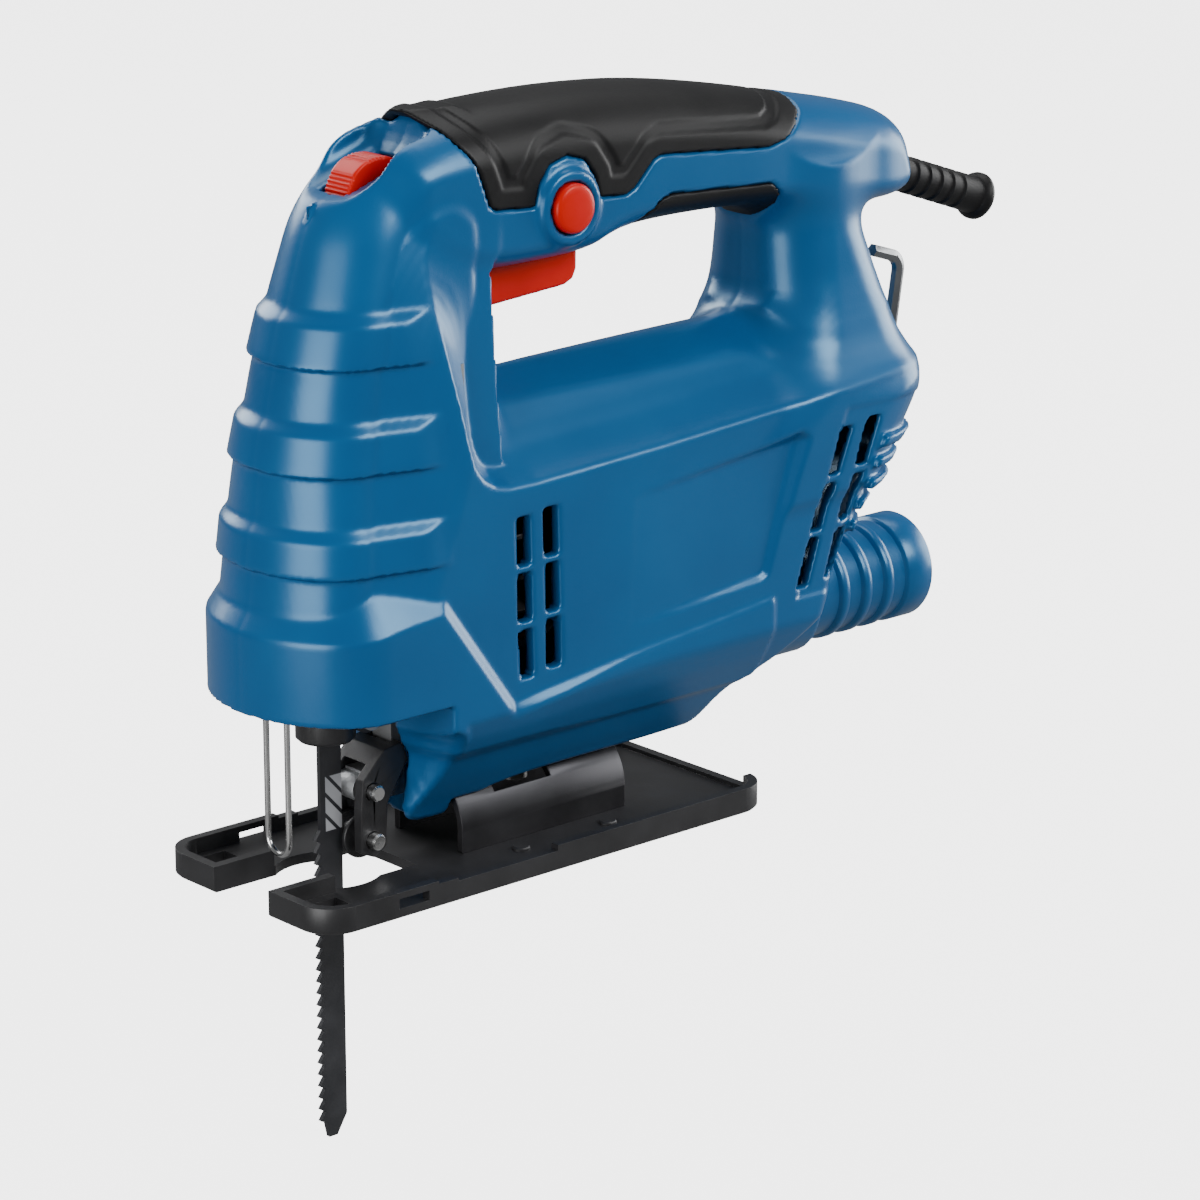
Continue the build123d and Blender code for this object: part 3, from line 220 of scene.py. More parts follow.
COLLAR_OUTLINE = [(-40, 30), (-40, 71), (-6, 71.6), (13.8, 73.4), (35, 43.8), (71, 48.6), (100, 51.5),
                  (118, 53.5), (150, 30)]
COLLAR_CENTRE, COLLAR_LENGTH, COLLAR_PROUD = -3, 22, 2.0
RINGS = [(81.4, 92.5), (104.5, 116.5), (128.5, 141.0)]
RING_PROUD = 1.7
FRAME_LINE = [(125, 40), (127.5, 53), (141, 95), (141.5, 97)]
FIN_COUNT, FIN_LOWEST, FIN_PITCH, FIN_HALF, FIN_PROUD, FIN_START = 5, 65.5, 5.4, 1.4, 1.5, 15.5
PORT_Z, PORT_BOSS, PORT_BORE = 42.0, 15.4, 13.05
SADDLE_Z, SADDLE_RADIUS, SADDLE_WALL = 8.0, 13.3, 15.8
GRIP_OUTLINE = [(18, 190), (22.5, 184), (28, 178.5), (32.5, 172), (35.2, 165.5), (37, 160.6),
                (39, 159.8), (50.5, 159), (51.8, 164), (55, 168.4), (60.5, 170), (66, 168.4),
                (69.2, 164), (70.5, 158.7), (79, 158.2), (82, 159.5), (88, 165.6), (90.5, 166.4),
                (126, 163.6), (132, 165), (141, 169.8), (145, 174.5), (147, 190)]
PAD_OUTLINE = [(84, 140), (84, 149.5), (86, 152), (91, 155.8), (94, 156.4), (127, 154.6),
               (130.5, 152), (133, 148), (133, 140)]
POCKET_OUTLINE = [(-14, 160.5), (3, 165.4), (20, 171.4), (24, 173.5), (27, 178), (30, 190), (-14, 190)]
LINER_OUTLINE = [(-14, 157), (3.5, 162.4), (22, 168), (28, 172), (31.5, 190), (-14, 190)]
PANEL_OUTLINE = [(73, 87.3), (126.5, 93.4), (128, 92), (117, 59.3), (115, 58.3), (71, 55.2)]
VENT_HEIGHT, VENT_RIB, VENT_WIDTH = 11.8, 2.0, 4.3
VENTS = [(37.0, 36.0, 49.0), (45.5, 44.5, 50.0), (127.0, 141.0, 53.5), (137.5, 150.5, 54.5)]
DIAL_X, DIAL_Z, BUTTON_X, BUTTON_Z = 15.5, 163.6, 60.5, 157.8
# place in the side plane and depth of the head, for each housing screw
SCREWS = [(25, 138, 14.0), (56, 103, 13.0), (150, 106, 16.0), (148, 64, 21.0), (40, 31, 12.0),
          (95, 165, 11.0), (140, 159, 11.0)]


def nose_shape(X, Y, Z, step):
    """The round front, an ellipse at each height that leans back towards the top."""
    front = curve(NOSE["front"], Z, 2.0)
    centre, half = curve(NOSE["centre"], Z), curve(NOSE["half"], Z)
    along = np.clip((centre - X) / (centre - front), 0, None)
    top = Z - 183.0
    shape = even(np.sqrt(along ** 2 + (Y / half) ** 2) - 1, step)
    return np.maximum(np.maximum(shape, top), np.maximum(X - 37.5, NOSE_BOTTOM - 3 - Z))


def body_shape(X, Y, Z, step):
    """Cheeks, flanks, keel and the hump under the hand opening."""
    inset = outline_distance(rounded(BODY_OUTLINE, 2), X, Z)
    cheek = curve(CHEEK["width"], Z) + curve(CHEEK["flare"], Z) * (X - curve(CHEEK["start"], Z))
    flank = curve(CHEEK["cap"], Z, 2.0) - 0.4 * smooth((X - 120) / 40) - 0.9 * smooth((90 - X) / 55)
    above = line_distance(RIDGE, X, Z)
    fade = curve([(100, 1), (110, 0.84), (117, 0.7), (130, 0.42), (142, 0.16), (150, 0.05),
                  (160, 0)], Z)
    fade = 1 - (1 - fade) * smooth((46 - X) / 8)
    drop = curve(RIDGE_DROP, above, 0.6) * fade
    keel = curve([(11, 7.5), (12.5, 8.5), (16, 10.6), (24, 16.5), (30, 20.5), (38, 25.5), (44, 28.6),
                  (47.5, 29.6), (52, 31)], Z, 1.2)
    half = np.minimum(np.minimum(cheek, flank - drop), keel)
    roll = 3 + 14 * smooth((X - 118) / 30) + 4 * smooth((X - 24) / 12) * smooth((Z - 100) / 20)
    roll = roll * smooth((Z - 8) / 30) + 1.5
    shape = even(relief(Y, inset, np.clip(half, 1.5, None), roll), step)
    return np.maximum(shape, np.maximum((Y - half) * 0.6, inset))


def handle_shape(X, Y, Z, step):
    """The bar of the handle with the tail behind it."""
    inset = outline_distance(rounded(HANDLE_OUTLINE, 2), X, Z)
    half = curve([(0, 18), (18, 18.3), (37, 18.5), (125, 18.5), (150, 18), (171, 16.4), (184, 12.6),
                  (190, 8)], X)
    middle = curve([(0, 168), (37, 163), (62, 163.5), (125, 162.5), (150, 158.5), (190, 151.5)], X)
    roll = curve([(-9, 7.5), (-3, 9), (3, 12), (9, 14)], Z - middle, 1.5)
    roll = roll * curve([(0, 1), (150, 1), (171, 0.85), (188, 0.5)], X)
    return even(relief(Y, inset, half, roll), step)


def post_shape(X, Y, Z):
    """The post behind the hand opening, a rounded plan that widens into the flanks."""
    low = curve([(80, 100), (88, 110), (98, 121), (106, 128), (114, 132), (122, 133.8),
                 (150, 134)], Z, 2)
    high = curve([(80, 166), (90, 173), (98, 177.4), (110, 174.6), (128, 169.6), (150, 162)], Z, 2)
    half = curve([(80, 26), (90, 27.4), (98, 28.2), (104, 27), (112, 24), (128, 20),
                  (150, 17.6)], Z, 2)
    plan = meet(np.abs(X - (low + high) / 2) - (high - low) / 2, np.abs(Y) - half, 15.0)
    return np.maximum(plan, np.abs(Z - 117) - 37)


def rod(X, Y, Z, start, end, radius):
    """A capsule from start to end."""
    a, b = np.array(start, float), np.array(end, float)
    d = b - a
    t = np.clip(((X - a[0]) * d[0] + (Y - a[1]) * d[1] + (Z - a[2]) * d[2]) / (d @ d), 0, 1)
    gap = (X - a[0] - t * d[0]) ** 2 + (Y - a[1] - t * d[1]) ** 2 + (Z - a[2] - t * d[2]) ** 2
    return np.sqrt(gap) - radius


def tool_shape(X, Y, Z, step):
    """The closed outer form of the tool, before any opening is cut."""
    side = np.abs(Y)
    nose = nose_shape(X, side, Z, step)
    body = body_shape(X, side, Z, step)
    whole = join(np.minimum(nose, body), handle_shape(X, side, Z, step), 3.0)
    return join(whole, post_shape(X, Y, Z), 9.0)


def housing_shape(X, Y, Z, step, near):
    """One half of the housing, as a field over Y from 0 outwards. near is the half with the lock
    button; the other one has the screw heads."""
    whole = tool_shape(X, Y, Z, step)
    # collar round the nose that runs back as the lower edge of the flank
    ahead = np.clip((COLLAR_CENTRE - X) / COLLAR_LENGTH, 0, None)
    collar_nose = even(np.sqrt(ahead ** 2 + (Y / LOWER_PLANE) ** 2) - 1 + 0 * Z, step)
    fall = 1.5 * smooth((X - 35) / 45)
    lower = np.maximum(collar_nose, body_shape(X, Y, Z, step) - COLLAR_PROUD + fall)
    lower = np.where(X < 12, np.maximum(collar_nose, 38 - Z), np.maximum(lower, collar_nose))
    slope = outline_distance(COLLAR_OUTLINE, X, Z)
    step_up = COLLAR_PROUD + 0.8 * smooth((4 - X) / 20) - fall
    collar = np.maximum(lower, (slope * 0.65 + lower + step_up) * 0.8)
    collar = np.maximum(collar, X - 119)
    outside = join(whole, collar, 0.4)
    # ring bands, each with a square lower edge and a sloping upper one
    proud = RING_PROUD * smooth((17 - X) / 9)
    for low, high in RINGS:
        band = np.maximum(whole - proud, np.maximum(low - Z, (Z - high + whole * 1.5) * 0.55))
        outside = join(outside, np.where(proud > 0.05, band, 9), 0.3)
    # boss of the outlet, boss of the key, collar of the lock button
    boss = np.maximum(np.hypot(Y, Z - PORT_Z) - PORT_BOSS, np.abs(X - 130) - 19)
    outside = join(outside, boss, 3.0)
    ring = np.hypot(X - BUTTON_X, Z - BUTTON_Z)
    if near:
        outside = join(outside, rod(X, Y, Z, (173.2, 9, 78), (176.6, 9, 98.5), 3.8), 1.6)
        button_collar = np.maximum(ring - 9.6 + np.clip(Y - 18.4, 0, None) * 0.45, Y - 20.4)
        outside = join(outside, button_collar, 1.4)
    # the hollow inside, less the saddle wall, the liner of the dial and the seats of the soft parts
    under = np.minimum(FOOT_FRONT - X, NOSE_BOTTOM - Z)
    cavity = np.maximum(whole + WALL, np.minimum(FOOT_FRONT + WALL - X, NOSE_BOTTOM - Z))
    saddle = np.hypot(Y, Z - SADDLE_Z)
    cavity = np.maximum(cavity, SADDLE_WALL - saddle)
    liner = np.maximum(outline_distance(LINER_OUTLINE, X, Z), Y - 13.0)
    cavity = np.maximum(cavity, -liner)
    soft_parts = [outline_distance(outline, X, Z) for outline in (GRIP_OUTLINE, PAD_OUTLINE)]
    for soft in soft_parts:
        cavity = np.maximum(cavity, -np.maximum(soft - 2.0, -(whole + SOFT_DEPTH + 2.0)))
    # sunk panel on the flank, with more depth to the rear, and the sunk field of the rear vents
    panel = outline_distance(PANEL_OUTLINE, X, Z)
    cavity = np.maximum(cavity, -np.maximum(panel - 2, 25.0 - Y))
    depth = 0.2 + 1.5 * np.clip((X - 71) / 55, 0, 1)
    outside = carve(outside, np.maximum(panel + (SIDE_PLANE - Y) * 0.9, SIDE_PLANE - depth - Y), 0.35)
    frame_line = line_distance(FRAME_LINE, X, Z)
    rear_frame = np.maximum(np.maximum(frame_line, Z - 97.5), 51 - Z)
    outside = carve(outside, np.maximum(rear_frame, -(whole + 0.45)), 0.3)
    # fins round the rear
    for row in range(FIN_COUNT):
        level = np.abs(Z - FIN_LOWEST - row * FIN_PITCH) - FIN_HALF
        fin = np.maximum(whole - FIN_PROUD, np.maximum(level, frame_line + FIN_START))
        outside = join(outside, fin, 0.5)
    shell = np.maximum(np.maximum(outside, under), -cavity)
    if not near:
        for x, z, head in SCREWS:
            around = np.hypot(X - x, Z - z)
            post = np.maximum(np.maximum(around - 5.0, 6 - Y), whole + 0.5)
            shell = np.minimum(shell, post)
            shell = carve(shell, np.maximum(around - 3.5, head - Y), 0.5)
    # soft layers lie in recesses
    for soft in soft_parts:
        shell = np.maximum(shell, np.minimum(-soft, whole + SOFT_DEPTH))
    # dial pocket and slot
    floor_gap = np.clip(outline_distance(rounded(POCKET_OUTLINE, 1), X, Z) + 4.0, 0, None)
    pocket = np.hypot(floor_gap, np.clip(Y - 6.5, 0, None)) - 4.0
    shell = carve(shell, pocket, 1.0)
    dial_room = np.hypot(X - DIAL_X, Z - DIAL_Z)
    shell = carve(shell, np.maximum(dial_room - 10.9, Y - 5.0), 0.5)
    # vents, three slots in each leaning column
    pitch = VENT_HEIGHT + VENT_RIB
    for low, high, bottom in VENTS:
        middle = low + VENT_WIDTH / 2 + (high - low) / (3 * pitch) * (Z - bottom)
        for row in range(3):
            level = np.abs(Z - (bottom + row * pitch) - VENT_HEIGHT / 2) - VENT_HEIGHT / 2
            slot = np.maximum(np.abs(X - middle) - VENT_WIDTH / 2, level)
            shell = carve(shell, np.maximum(slot, 24 - Y), 0.5)
    # trigger slot, button bore, key hole, saddle, lever slot, outlet bore, cord hole
    shell = carve(shell, block(X, Y, Z, (36, -8.1, 124), (75.5, 8.1, 154.5)), 0.6)
    if near:
        shell = carve(shell, np.maximum(ring - 6.15, 7 - Y), 0.7)
        shell = carve(shell, rod(X, Y, Z, (173.2, 9, 77.6), (181, 9, 127), 1.9), 0.4)
    shell = carve(shell, np.maximum(saddle - SADDLE_RADIUS, np.abs(X - 63.8) - 33.8), 0.5)
    shell = carve(shell, block(X, Y, Z, (-30, -7.4, 0), (23.5, 7.4, 45.5)), 0.6)
    shell = carve(shell, np.maximum(np.hypot(Y, Z - PORT_Z) - PORT_BORE, 112 - X), 0.5)
    shell = carve(shell, rod(X, Y, Z, (172, 0, 152.4), (200, 0, 142.7), 5.0), 0.6)
    # the joint line between the halves
    return shell + 0.3 * np.clip(1 - np.abs(Y) / 0.8, 0, 1) ** 2


def surface_net(field, low, step):
    """Vertices, outward normals and quads of a sampled field's zero surface."""
    inside = field < 0
    shape = tuple(n - 1 for n in field.shape)
    total = np.zeros(shape + (3,), np.float32)
    count = np.zeros(shape, np.float32)
    edges = []
    for axis in range(3):
        first = [slice(None)] * 3
        second = [slice(None)] * 3
        first[axis], second[axis] = slice(None, -1), slice(1, None)
        a, b = field[tuple(first)], field[tuple(second)]
        cross = inside[tuple(first)] != inside[tuple(second)]
        part = np.where(cross, a / np.where(cross, a - b, 1), 0).astype(np.float32)
        others = [i for i in range(3) if i != axis]
        for da in (0, 1):
            for db in (0, 1):
                cut = [slice(None)] * 3
                for i, d in zip(others, (da, db)):
                    cut[i] = slice(d, cross.shape[i] - 1 + d)
                here = cross[tuple(cut)]
                total[..., axis] += part[tuple(cut)]
                total[..., others[0]] += here * np.float32(da)
                total[..., others[1]] += here * np.float32(db)
                count += here
        edges.append((axis, others, cross, inside[tuple(first)]))
    used = count > 0
    number = np.full(shape, -1, np.int32)
    number[used] = np.arange(used.sum())
    cell = np.argwhere(used).astype(np.float32)
    points = cell + total[used] / count[used][:, None]
    quads = []
    for axis, others, cross, solid in edges:
        found = np.argwhere(cross)
        ok = np.ones(len(found), bool)
        for i in others:
            ok &= (found[:, i] > 0) & (found[:, i] < field.shape[i] - 1)
        found = found[ok]
        corners = []
        for da, db in ((1, 1), (0, 1), (0, 0), (1, 0)):
            at = found.copy()
            at[:, others[0]] -= da
            at[:, others[1]] -= db
            corners.append(number[tuple(at.T)])
        quad = np.stack(corners, 1)
        forward = solid[tuple(found.T)] ^ (axis == 1)
        quads.append(np.where(forward[:, None], quad, quad[:, ::-1]))
    quads = np.concatenate(quads)
    slopes = np.gradient(field)

    def sample(grid, p):
        """The grid's values at points between its samples."""
        base = np.clip(np.floor(p).astype(int), 0, np.array(field.shape) - 2)
        w = (p - base).astype(np.float32)
        value = np.zeros(len(p), np.float32)
        for corner in np.ndindex(2, 2, 2):
            share = np.abs(1 - np.array(corner, np.float32) - w)
            share = share[:, 0] * share[:, 1] * share[:, 2]
            value += share * grid[tuple((base + corner).T)]
        return value

    # two short moves bring each point onto the surface itself
    for _ in range(2):
        slope = np.stack([sample(g, points) for g in slopes], 1)
        length = np.clip((slope ** 2).sum(1), 1e-2, None)
        move = slope * (sample(field, points) / length)[:, None]
        points = points + np.clip(move, -0.5, 0.5)
    slope = np.stack([sample(g, points) for g in slopes], 1)
    normals = slope / np.clip(np.linalg.norm(slope, axis=1), 1e-6, None)[:, None]
    return points * step + np.array(low), normals, quads


def grid_of(low, high, step):
    """The three broadcast axes of a sampling grid, in millimetres."""
    axes = [np.arange(a, b + step, step, dtype=np.float32) for a, b in zip(low, high)]
    return axes[0][:, None, None], axes[1][None, :, None], axes[2][None, None, :]


def add_piece(name, points, faces, material, node, normals=None):
    """A mesh in millimetres that stands for a CAD node and rides with its body."""
    mesh = bpy.data.meshes.new(name)
    if not isinstance(faces, list):
        faces = faces.tolist()
    mesh.from_pydata((np.asarray(points) * MM).tolist(), [], faces)
    mesh.materials.append(material)
    mesh.polygons.foreach_set("use_smooth", [True] * len(mesh.polygons))
    if normals is not None:
        mesh.normals_split_custom_set_from_vertices(normals.tolist())
    mesh.update()
    piece = bpy.data.objects.new(name, mesh)
    bpy.context.scene.collection.objects.link(piece)
    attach(piece, nodes[node]["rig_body"])
    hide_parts(node)
    return piece


def add_skin(name, field, low, step, material, node, mirrored=False):
    """The skin of a field becomes a piece."""
    points, normals, quads = surface_net(field.astype(np.float32), low, step)
    if mirrored:
        points[:, 1] *= -1
        normals[:, 1] *= -1
        quads = quads[:, ::-1]
    add_piece(name, points, quads, material, node, normals)


def noise(tree, vector, scale, detail):
    node = tree.nodes.new("ShaderNodeTexNoise")
    node.inputs["Detail"].default_value = detail
    tree.links.new(vector, node.inputs["Vector"])
    tree.links.new(scale, node.inputs["Scale"])
    return node.outputs["Fac"]


def spread(tree, value, low, high):
    """The middle of a mask's range, stretched over low to high."""
    node = tree.nodes.new("ShaderNodeMapRange")
    for label, number in (("From Min", 0.3), ("From Max", 0.7), ("To Min", low), ("To Max", high)):
        node.inputs[label].default_value = number
    tree.links.new(value, node.inputs["Value"])
    return node.outputs["Result"]


# the fine grain of a surface and the wide patches in which its colour and gloss drift
moulded_grain = bpy.data.node_groups.new("moulded_grain", "ShaderNodeTree")
for label in ("Grain Scale", "Patch Scale"):
    moulded_grain.interface.new_socket(name=label, in_out="INPUT", socket_type="NodeSocketFloat")
for label in ("Height", "Patches"):
    moulded_grain.interface.new_socket(name=label, in_out="OUTPUT", socket_type="NodeSocketFloat")
grain_in = moulded_grain.nodes.new("NodeGroupInput")
grain_out = moulded_grain.nodes.new("NodeGroupOutput")
place = moulded_grain.nodes.new("ShaderNodeTexCoord")
for scale, detail, label in (("Grain Scale", 2.0, "Height"), ("Patch Scale", 4.0, "Patches")):
    pattern = noise(moulded_grain, place.outputs["Object"], grain_in.outputs[scale], detail)
    moulded_grain.links.new(pattern, grain_out.inputs[label])

COAT_ROUGHNESS = 0.22


def finish_of(name, dark, light, rough, bump, grain=2600.0, patches=28.0, metallic=0.0, coat=0.0,
              specular=0.5, tint=(1, 1, 1)):
    """A surface whose colour and gloss drift in patches over a fine grain. dark and light are the
    ends of its colour, rough the ends of its roughness, bump the strength and depth of the grain."""
    material = bpy.data.materials.new(name)
    material.use_nodes = True
    tree = material.node_tree
    shader = tree.nodes["Principled BSDF"]
    group = tree.nodes.new("ShaderNodeGroup")
    group.node_tree = moulded_grain
    group.inputs["Grain Scale"].default_value = grain
    group.inputs["Patch Scale"].default_value = patches
    mix = tree.nodes.new("ShaderNodeMix")
    mix.data_type = "RGBA"
    mix.inputs["A"].default_value = (*dark, 1)
    mix.inputs["B"].default_value = (*light, 1)
    tree.links.new(spread(tree, group.outputs["Patches"], 0, 1), mix.inputs["Factor"])
    tree.links.new(mix.outputs["Result"], shader.inputs["Base Color"])
    tree.links.new(spread(tree, group.outputs["Patches"], *rough), shader.inputs["Roughness"])
    relief_node = tree.nodes.new("ShaderNodeBump")
    relief_node.inputs["Strength"].default_value = bump[0]
    relief_node.inputs["Distance"].default_value = bump[1] * MM
    tree.links.new(group.outputs["Height"], relief_node.inputs["Height"])
    tree.links.new(relief_node.outputs["Normal"], shader.inputs["Normal"])
    shader.inputs["Metallic"].default_value = metallic
    shader.inputs["Coat Weight"].default_value = coat
    shader.inputs["Coat Roughness"].default_value = COAT_ROUGHNESS
    shader.inputs["Specular IOR Level"].default_value = specular
    shader.inputs["Specular Tint"].default_value = (*tint, 1)
    return material


blue_plastic = finish_of("blue_plastic", (0.0, 0.072, 0.215), (0.0, 0.088, 0.252), (0.28, 0.36),
                         (0.25, 0.05), 1900.0, 22.0, coat=0.12, specular=1.0, tint=(0.32, 0.68, 1.0))
HOUSING_STEP = 0.8
for near, name in ((True, "left_housing"), (False, "right_housing")):
    low = (-28.0, -HOUSING_STEP / 2, 9.0)
    X, Y, Z = grid_of(low, (192.0, 33.0, 187.0), HOUSING_STEP)
    field = housing_shape(X, Y, Z, HOUSING_STEP, near)
    add_skin(name + "_skin", field, low, HOUSING_STEP, blue_plastic, name, near)

# ---- Soft grip and finger pad --------------------------------------------------------------
# Black thermoplastic rubber, moulded over the handle bar in a second shot, and flush with the
# plastic. Two contour lines run round inside its border, and the field they enclose is stippled.

GRIP_STEP = 0.5
rubber = finish_of("grip_rubber", (0.004, 0.004, 0.0045), (0.007, 0.007, 0.0075), (0.42, 0.52),
                   (0.35, 0.06), 1500.0, 40.0, specular=0.25)
for name, node, outline, low, high in (
        ("grip_skin", "handle_grip", GRIP_OUTLINE, (14.0, -20.0, 155.0), (150.0, 20.0, 186.0)),
        ("pad_skin", "handle_pad", PAD_OUTLINE, (82.0, -20.0, 143.0), (136.0, 20.0, 158.5))):
    X, Y, Z = grid_of(low, high, GRIP_STEP)
    whole = tool_shape(X, Y, Z, GRIP_STEP)
    border = outline_distance(outline, X, Z)
    sink = 0.12
    if node == "handle_grip":
        sink = sink + 0.42 * smooth((-border - 4.4) / 0.7) - 0.34 * smooth((-border - 7.0) / 0.8)
    field = np.maximum(np.maximum(whole + sink, border + 0.05), -(whole + SOFT_DEPTH - 0.1))
    around = np.hypot(X - BUTTON_X, Z - BUTTON_Z)
    field = np.maximum(field, np.where(Y < 0, 9.9 - around, -9))
    for x, z, head in SCREWS:
        field = np.maximum(field, np.where(Y > 0, 3.4 - np.hypot(X - x, Z - z), -9))
    add_skin(name, field, low, GRIP_STEP, rubber, node)

# ---- Motor ---------------------------------------------------------------------------------
# A universal motor lies along the body: laminated stator with two field coils, wound armature,
# commutator with carbon brushes in plastic holders, and a fan behind the front bearing.


def dress(names, material, bevel=0.0):
    """Gives CAD nodes a material and, where asked, eased edges."""
    for name in names:
        node = nodes[name]
        for material_slot in node.material_slots:
            material_slot.material = material
        if bevel:
            node.modifiers.new("close", "WELD").merge_threshold = 2e-6
            edge = node.modifiers.new("edge", "BEVEL")
            edge.width, edge.segments, edge.limit_method = bevel * MM, 2, "ANGLE"
            edge.angle_limit, edge.harden_normals = math.radians(35), True


def metal(name, dark, light, rough, bump=(0.15, 0.03), grain=1800.0):
    return finish_of(name, dark, light, rough, bump, grain, 60.0, metallic=1.0)


lamination = metal("stator_laminations", (0.10, 0.10, 0.11), (0.16, 0.16, 0.17), (0.42, 0.6),
                   (0.5, 0.1), 700.0)
enamel = metal("winding_enamel", (0.33, 0.10, 0.035), (0.48, 0.17, 0.06), (0.3, 0.45),
               (0.8, 0.3), 900.0)
zinc = metal("zinc_plate", (0.42, 0.42, 0.41), (0.56, 0.56, 0.55), (0.28, 0.42))
black_moulding = finish_of("black_moulding", (0.012, 0.012, 0.013), (0.02, 0.02, 0.021),
                           (0.35, 0.5), (0.3, 0.05))
carbon_block = finish_of("carbon_block", (0.02, 0.02, 0.02), (0.04, 0.04, 0.04), (0.5, 0.7),
                         (0.4, 0.05))
board_green = finish_of("board_green", (0.006, 0.06, 0.02), (0.012, 0.09, 0.03), (0.25, 0.4),
                        (0.2, 0.03))
dress(["stator", "armature_core"], lamination)
dress(["upper_field_coil", "lower_field_coil", "front_winding", "rear_winding", "commutator"], enamel)
dress(["armature_shaft", "front_bearing", "rear_bearing", "gear_pin", "crank_pin"], zinc)
dress(["cooling_fan", "left_brush_holder", "right_brush_holder", "switch_body", "cord_clamp"],
      black_moulding, 0.3)
dress(["left_carbon_brush", "right_carbon_brush"], carbon_block)
dress(["speed_board"], board_green)

# ---- Gear frame and crank drive ------------------------------------------------------------
# A die-cast aluminium frame carries the sintered bushes, the gear pin and the lever. The steel
# gear turns a crank pin in the slot of the yoke, which is pinned to the plunger.

casting = metal("die_casting", (0.36, 0.37, 0.38), (0.50, 0.51, 0.52), (0.45, 0.62),
                (0.6, 0.15), 900.0)
sintered = metal("sintered_bronze", (0.28, 0.16, 0.07), (0.38, 0.23, 0.11), (0.4, 0.6),
                 (0.5, 0.08), 2200.0)
ground_steel = metal("ground_steel", (0.5, 0.5, 0.5), (0.62, 0.62, 0.62), (0.14, 0.28),
                     (0.1, 0.02), 2600.0)
dress(["gear_frame"], casting, 0.4)
dress(["lower_bush", "upper_bush"], sintered)
dress(["drive_gear", "scotch_yoke"], zinc, 0.15)
dress(["plunger"], ground_steel)

# ---- Blade clamp and blade -----------------------------------------------------------------
# The clamp is a blackened steel block on the plunger, closed by a small socket screw. The blade
# is punched from strip, milled, oiled black, and marked with slanting pale bars at its shank.

blackened = finish_of("blackened_steel", (0.010, 0.010, 0.011), (0.022, 0.022, 0.024), (0.34, 0.52),
                      (0.4, 0.06), 1400.0, 90.0, specular=0.7)
dress(["blade_clamp"], blackened, 0.3)
dress(["blade_clamp_screw"], zinc, 0.2)

blade_finish = finish_of("blade_black", (0.014, 0.015, 0.018), (0.026, 0.027, 0.031), (0.32, 0.46),
                         (0.25, 0.03), 2400.0, 120.0, specular=0.7)
tree = blade_finish.node_tree
shader = tree.nodes["Principled BSDF"]
where = tree.nodes.new("ShaderNodeTexCoord")
split = tree.nodes.new("ShaderNodeSeparateXYZ")
tree.links.new(where.outputs["Object"], split.inputs["Vector"])
across, height = split.outputs["X"], split.outputs["Z"]


def math_of(operation, a, b):
    """A math node of the blade's material on two sockets or numbers."""
    node = tree.nodes.new("ShaderNodeMath")
    node.operation = operation
    for socket, value in zip(node.inputs, (a, b)):
        if isinstance(value, (int, float)):
            socket.default_value = value
        else:
            tree.links.new(value, socket)
    return node.outputs["Value"]


BAR_PITCH, BAR_GAP, BAR_SLANT = 0.0052, 0.00062, 1.1
BAR_LOW, BAR_HIGH, BAR_EDGE = 0.0125, 0.0262, -0.0009
slant = math_of("ADD", height, math_of("MULTIPLY", across, BAR_SLANT))
bars = math_of("GREATER_THAN", math_of("PINGPONG", slant, BAR_PITCH / 2), BAR_GAP)
for limit in (math_of("GREATER_THAN", height, BAR_LOW), math_of("LESS_THAN", height, BAR_HIGH),
              math_of("GREATER_THAN", across, BAR_EDGE)):
    bars = math_of("MULTIPLY", bars, limit)
ink = tree.nodes.new("ShaderNodeMix")
ink.data_type = "RGBA"
ink.inputs["B"].default_value = (0.42, 0.43, 0.45, 1)
tree.links.new(bars, ink.inputs["Factor"])
tree.links.new(shader.inputs["Base Color"].links[0].from_socket, ink.inputs["A"])
tree.links.new(ink.outputs["Result"], shader.inputs["Base Color"])
dress(["saw_blade"], blade_finish)

# ---- Roller lever --------------------------------------------------------------------------
# A blackened steel fork hangs from a bright pin in the gear frame and holds the grooved guide
# roller that backs the blade.

pin_steel = metal("pin_steel", (0.55, 0.55, 0.55), (0.68, 0.68, 0.67), (0.16, 0.3),
                  (0.12, 0.02), 2200.0)
dress(["roller_lever"], blackened, 0.35)
dress(["guide_roller"], blackened, 0.25)
dress(["roller_axle", "lever_pivot_pin", "trigger_pin"], pin_steel)

# ---- Base plate, arch and its clamp --------------------------------------------------------
# The sole is a blackened steel pressing with raised lips. A bent strip of phosphated steel is
# riveted on it as the arch, and a plate and one screw clamp the arch under the housing.

plate_black = finish_of("plate_black", (0.011, 0.011, 0.012), (0.021, 0.021, 0.023), (0.36, 0.5),
                        (0.35, 0.05), 1500.0, 70.0, specular=0.6)
arch_steel = metal("arch_steel", (0.045, 0.045, 0.049), (0.07, 0.07, 0.075), (0.42, 0.55),
                   (0.3, 0.04), 2000.0)
dress(["base_plate"], plate_black, 0.5)
dress(["bevel_arch"], arch_steel, 0.25)
dress(["shoe_clamp_plate"], blackened, 0.3)
dress(["shoe_clamp_screw"], zinc)
dress([f"plate_rivet_{i}" for i in range(1, 5)], blackened)

# ---- Trigger -------------------------------------------------------------------------------
# A hollow red moulding that turns on a pin in the housing. Its edges are well rounded.

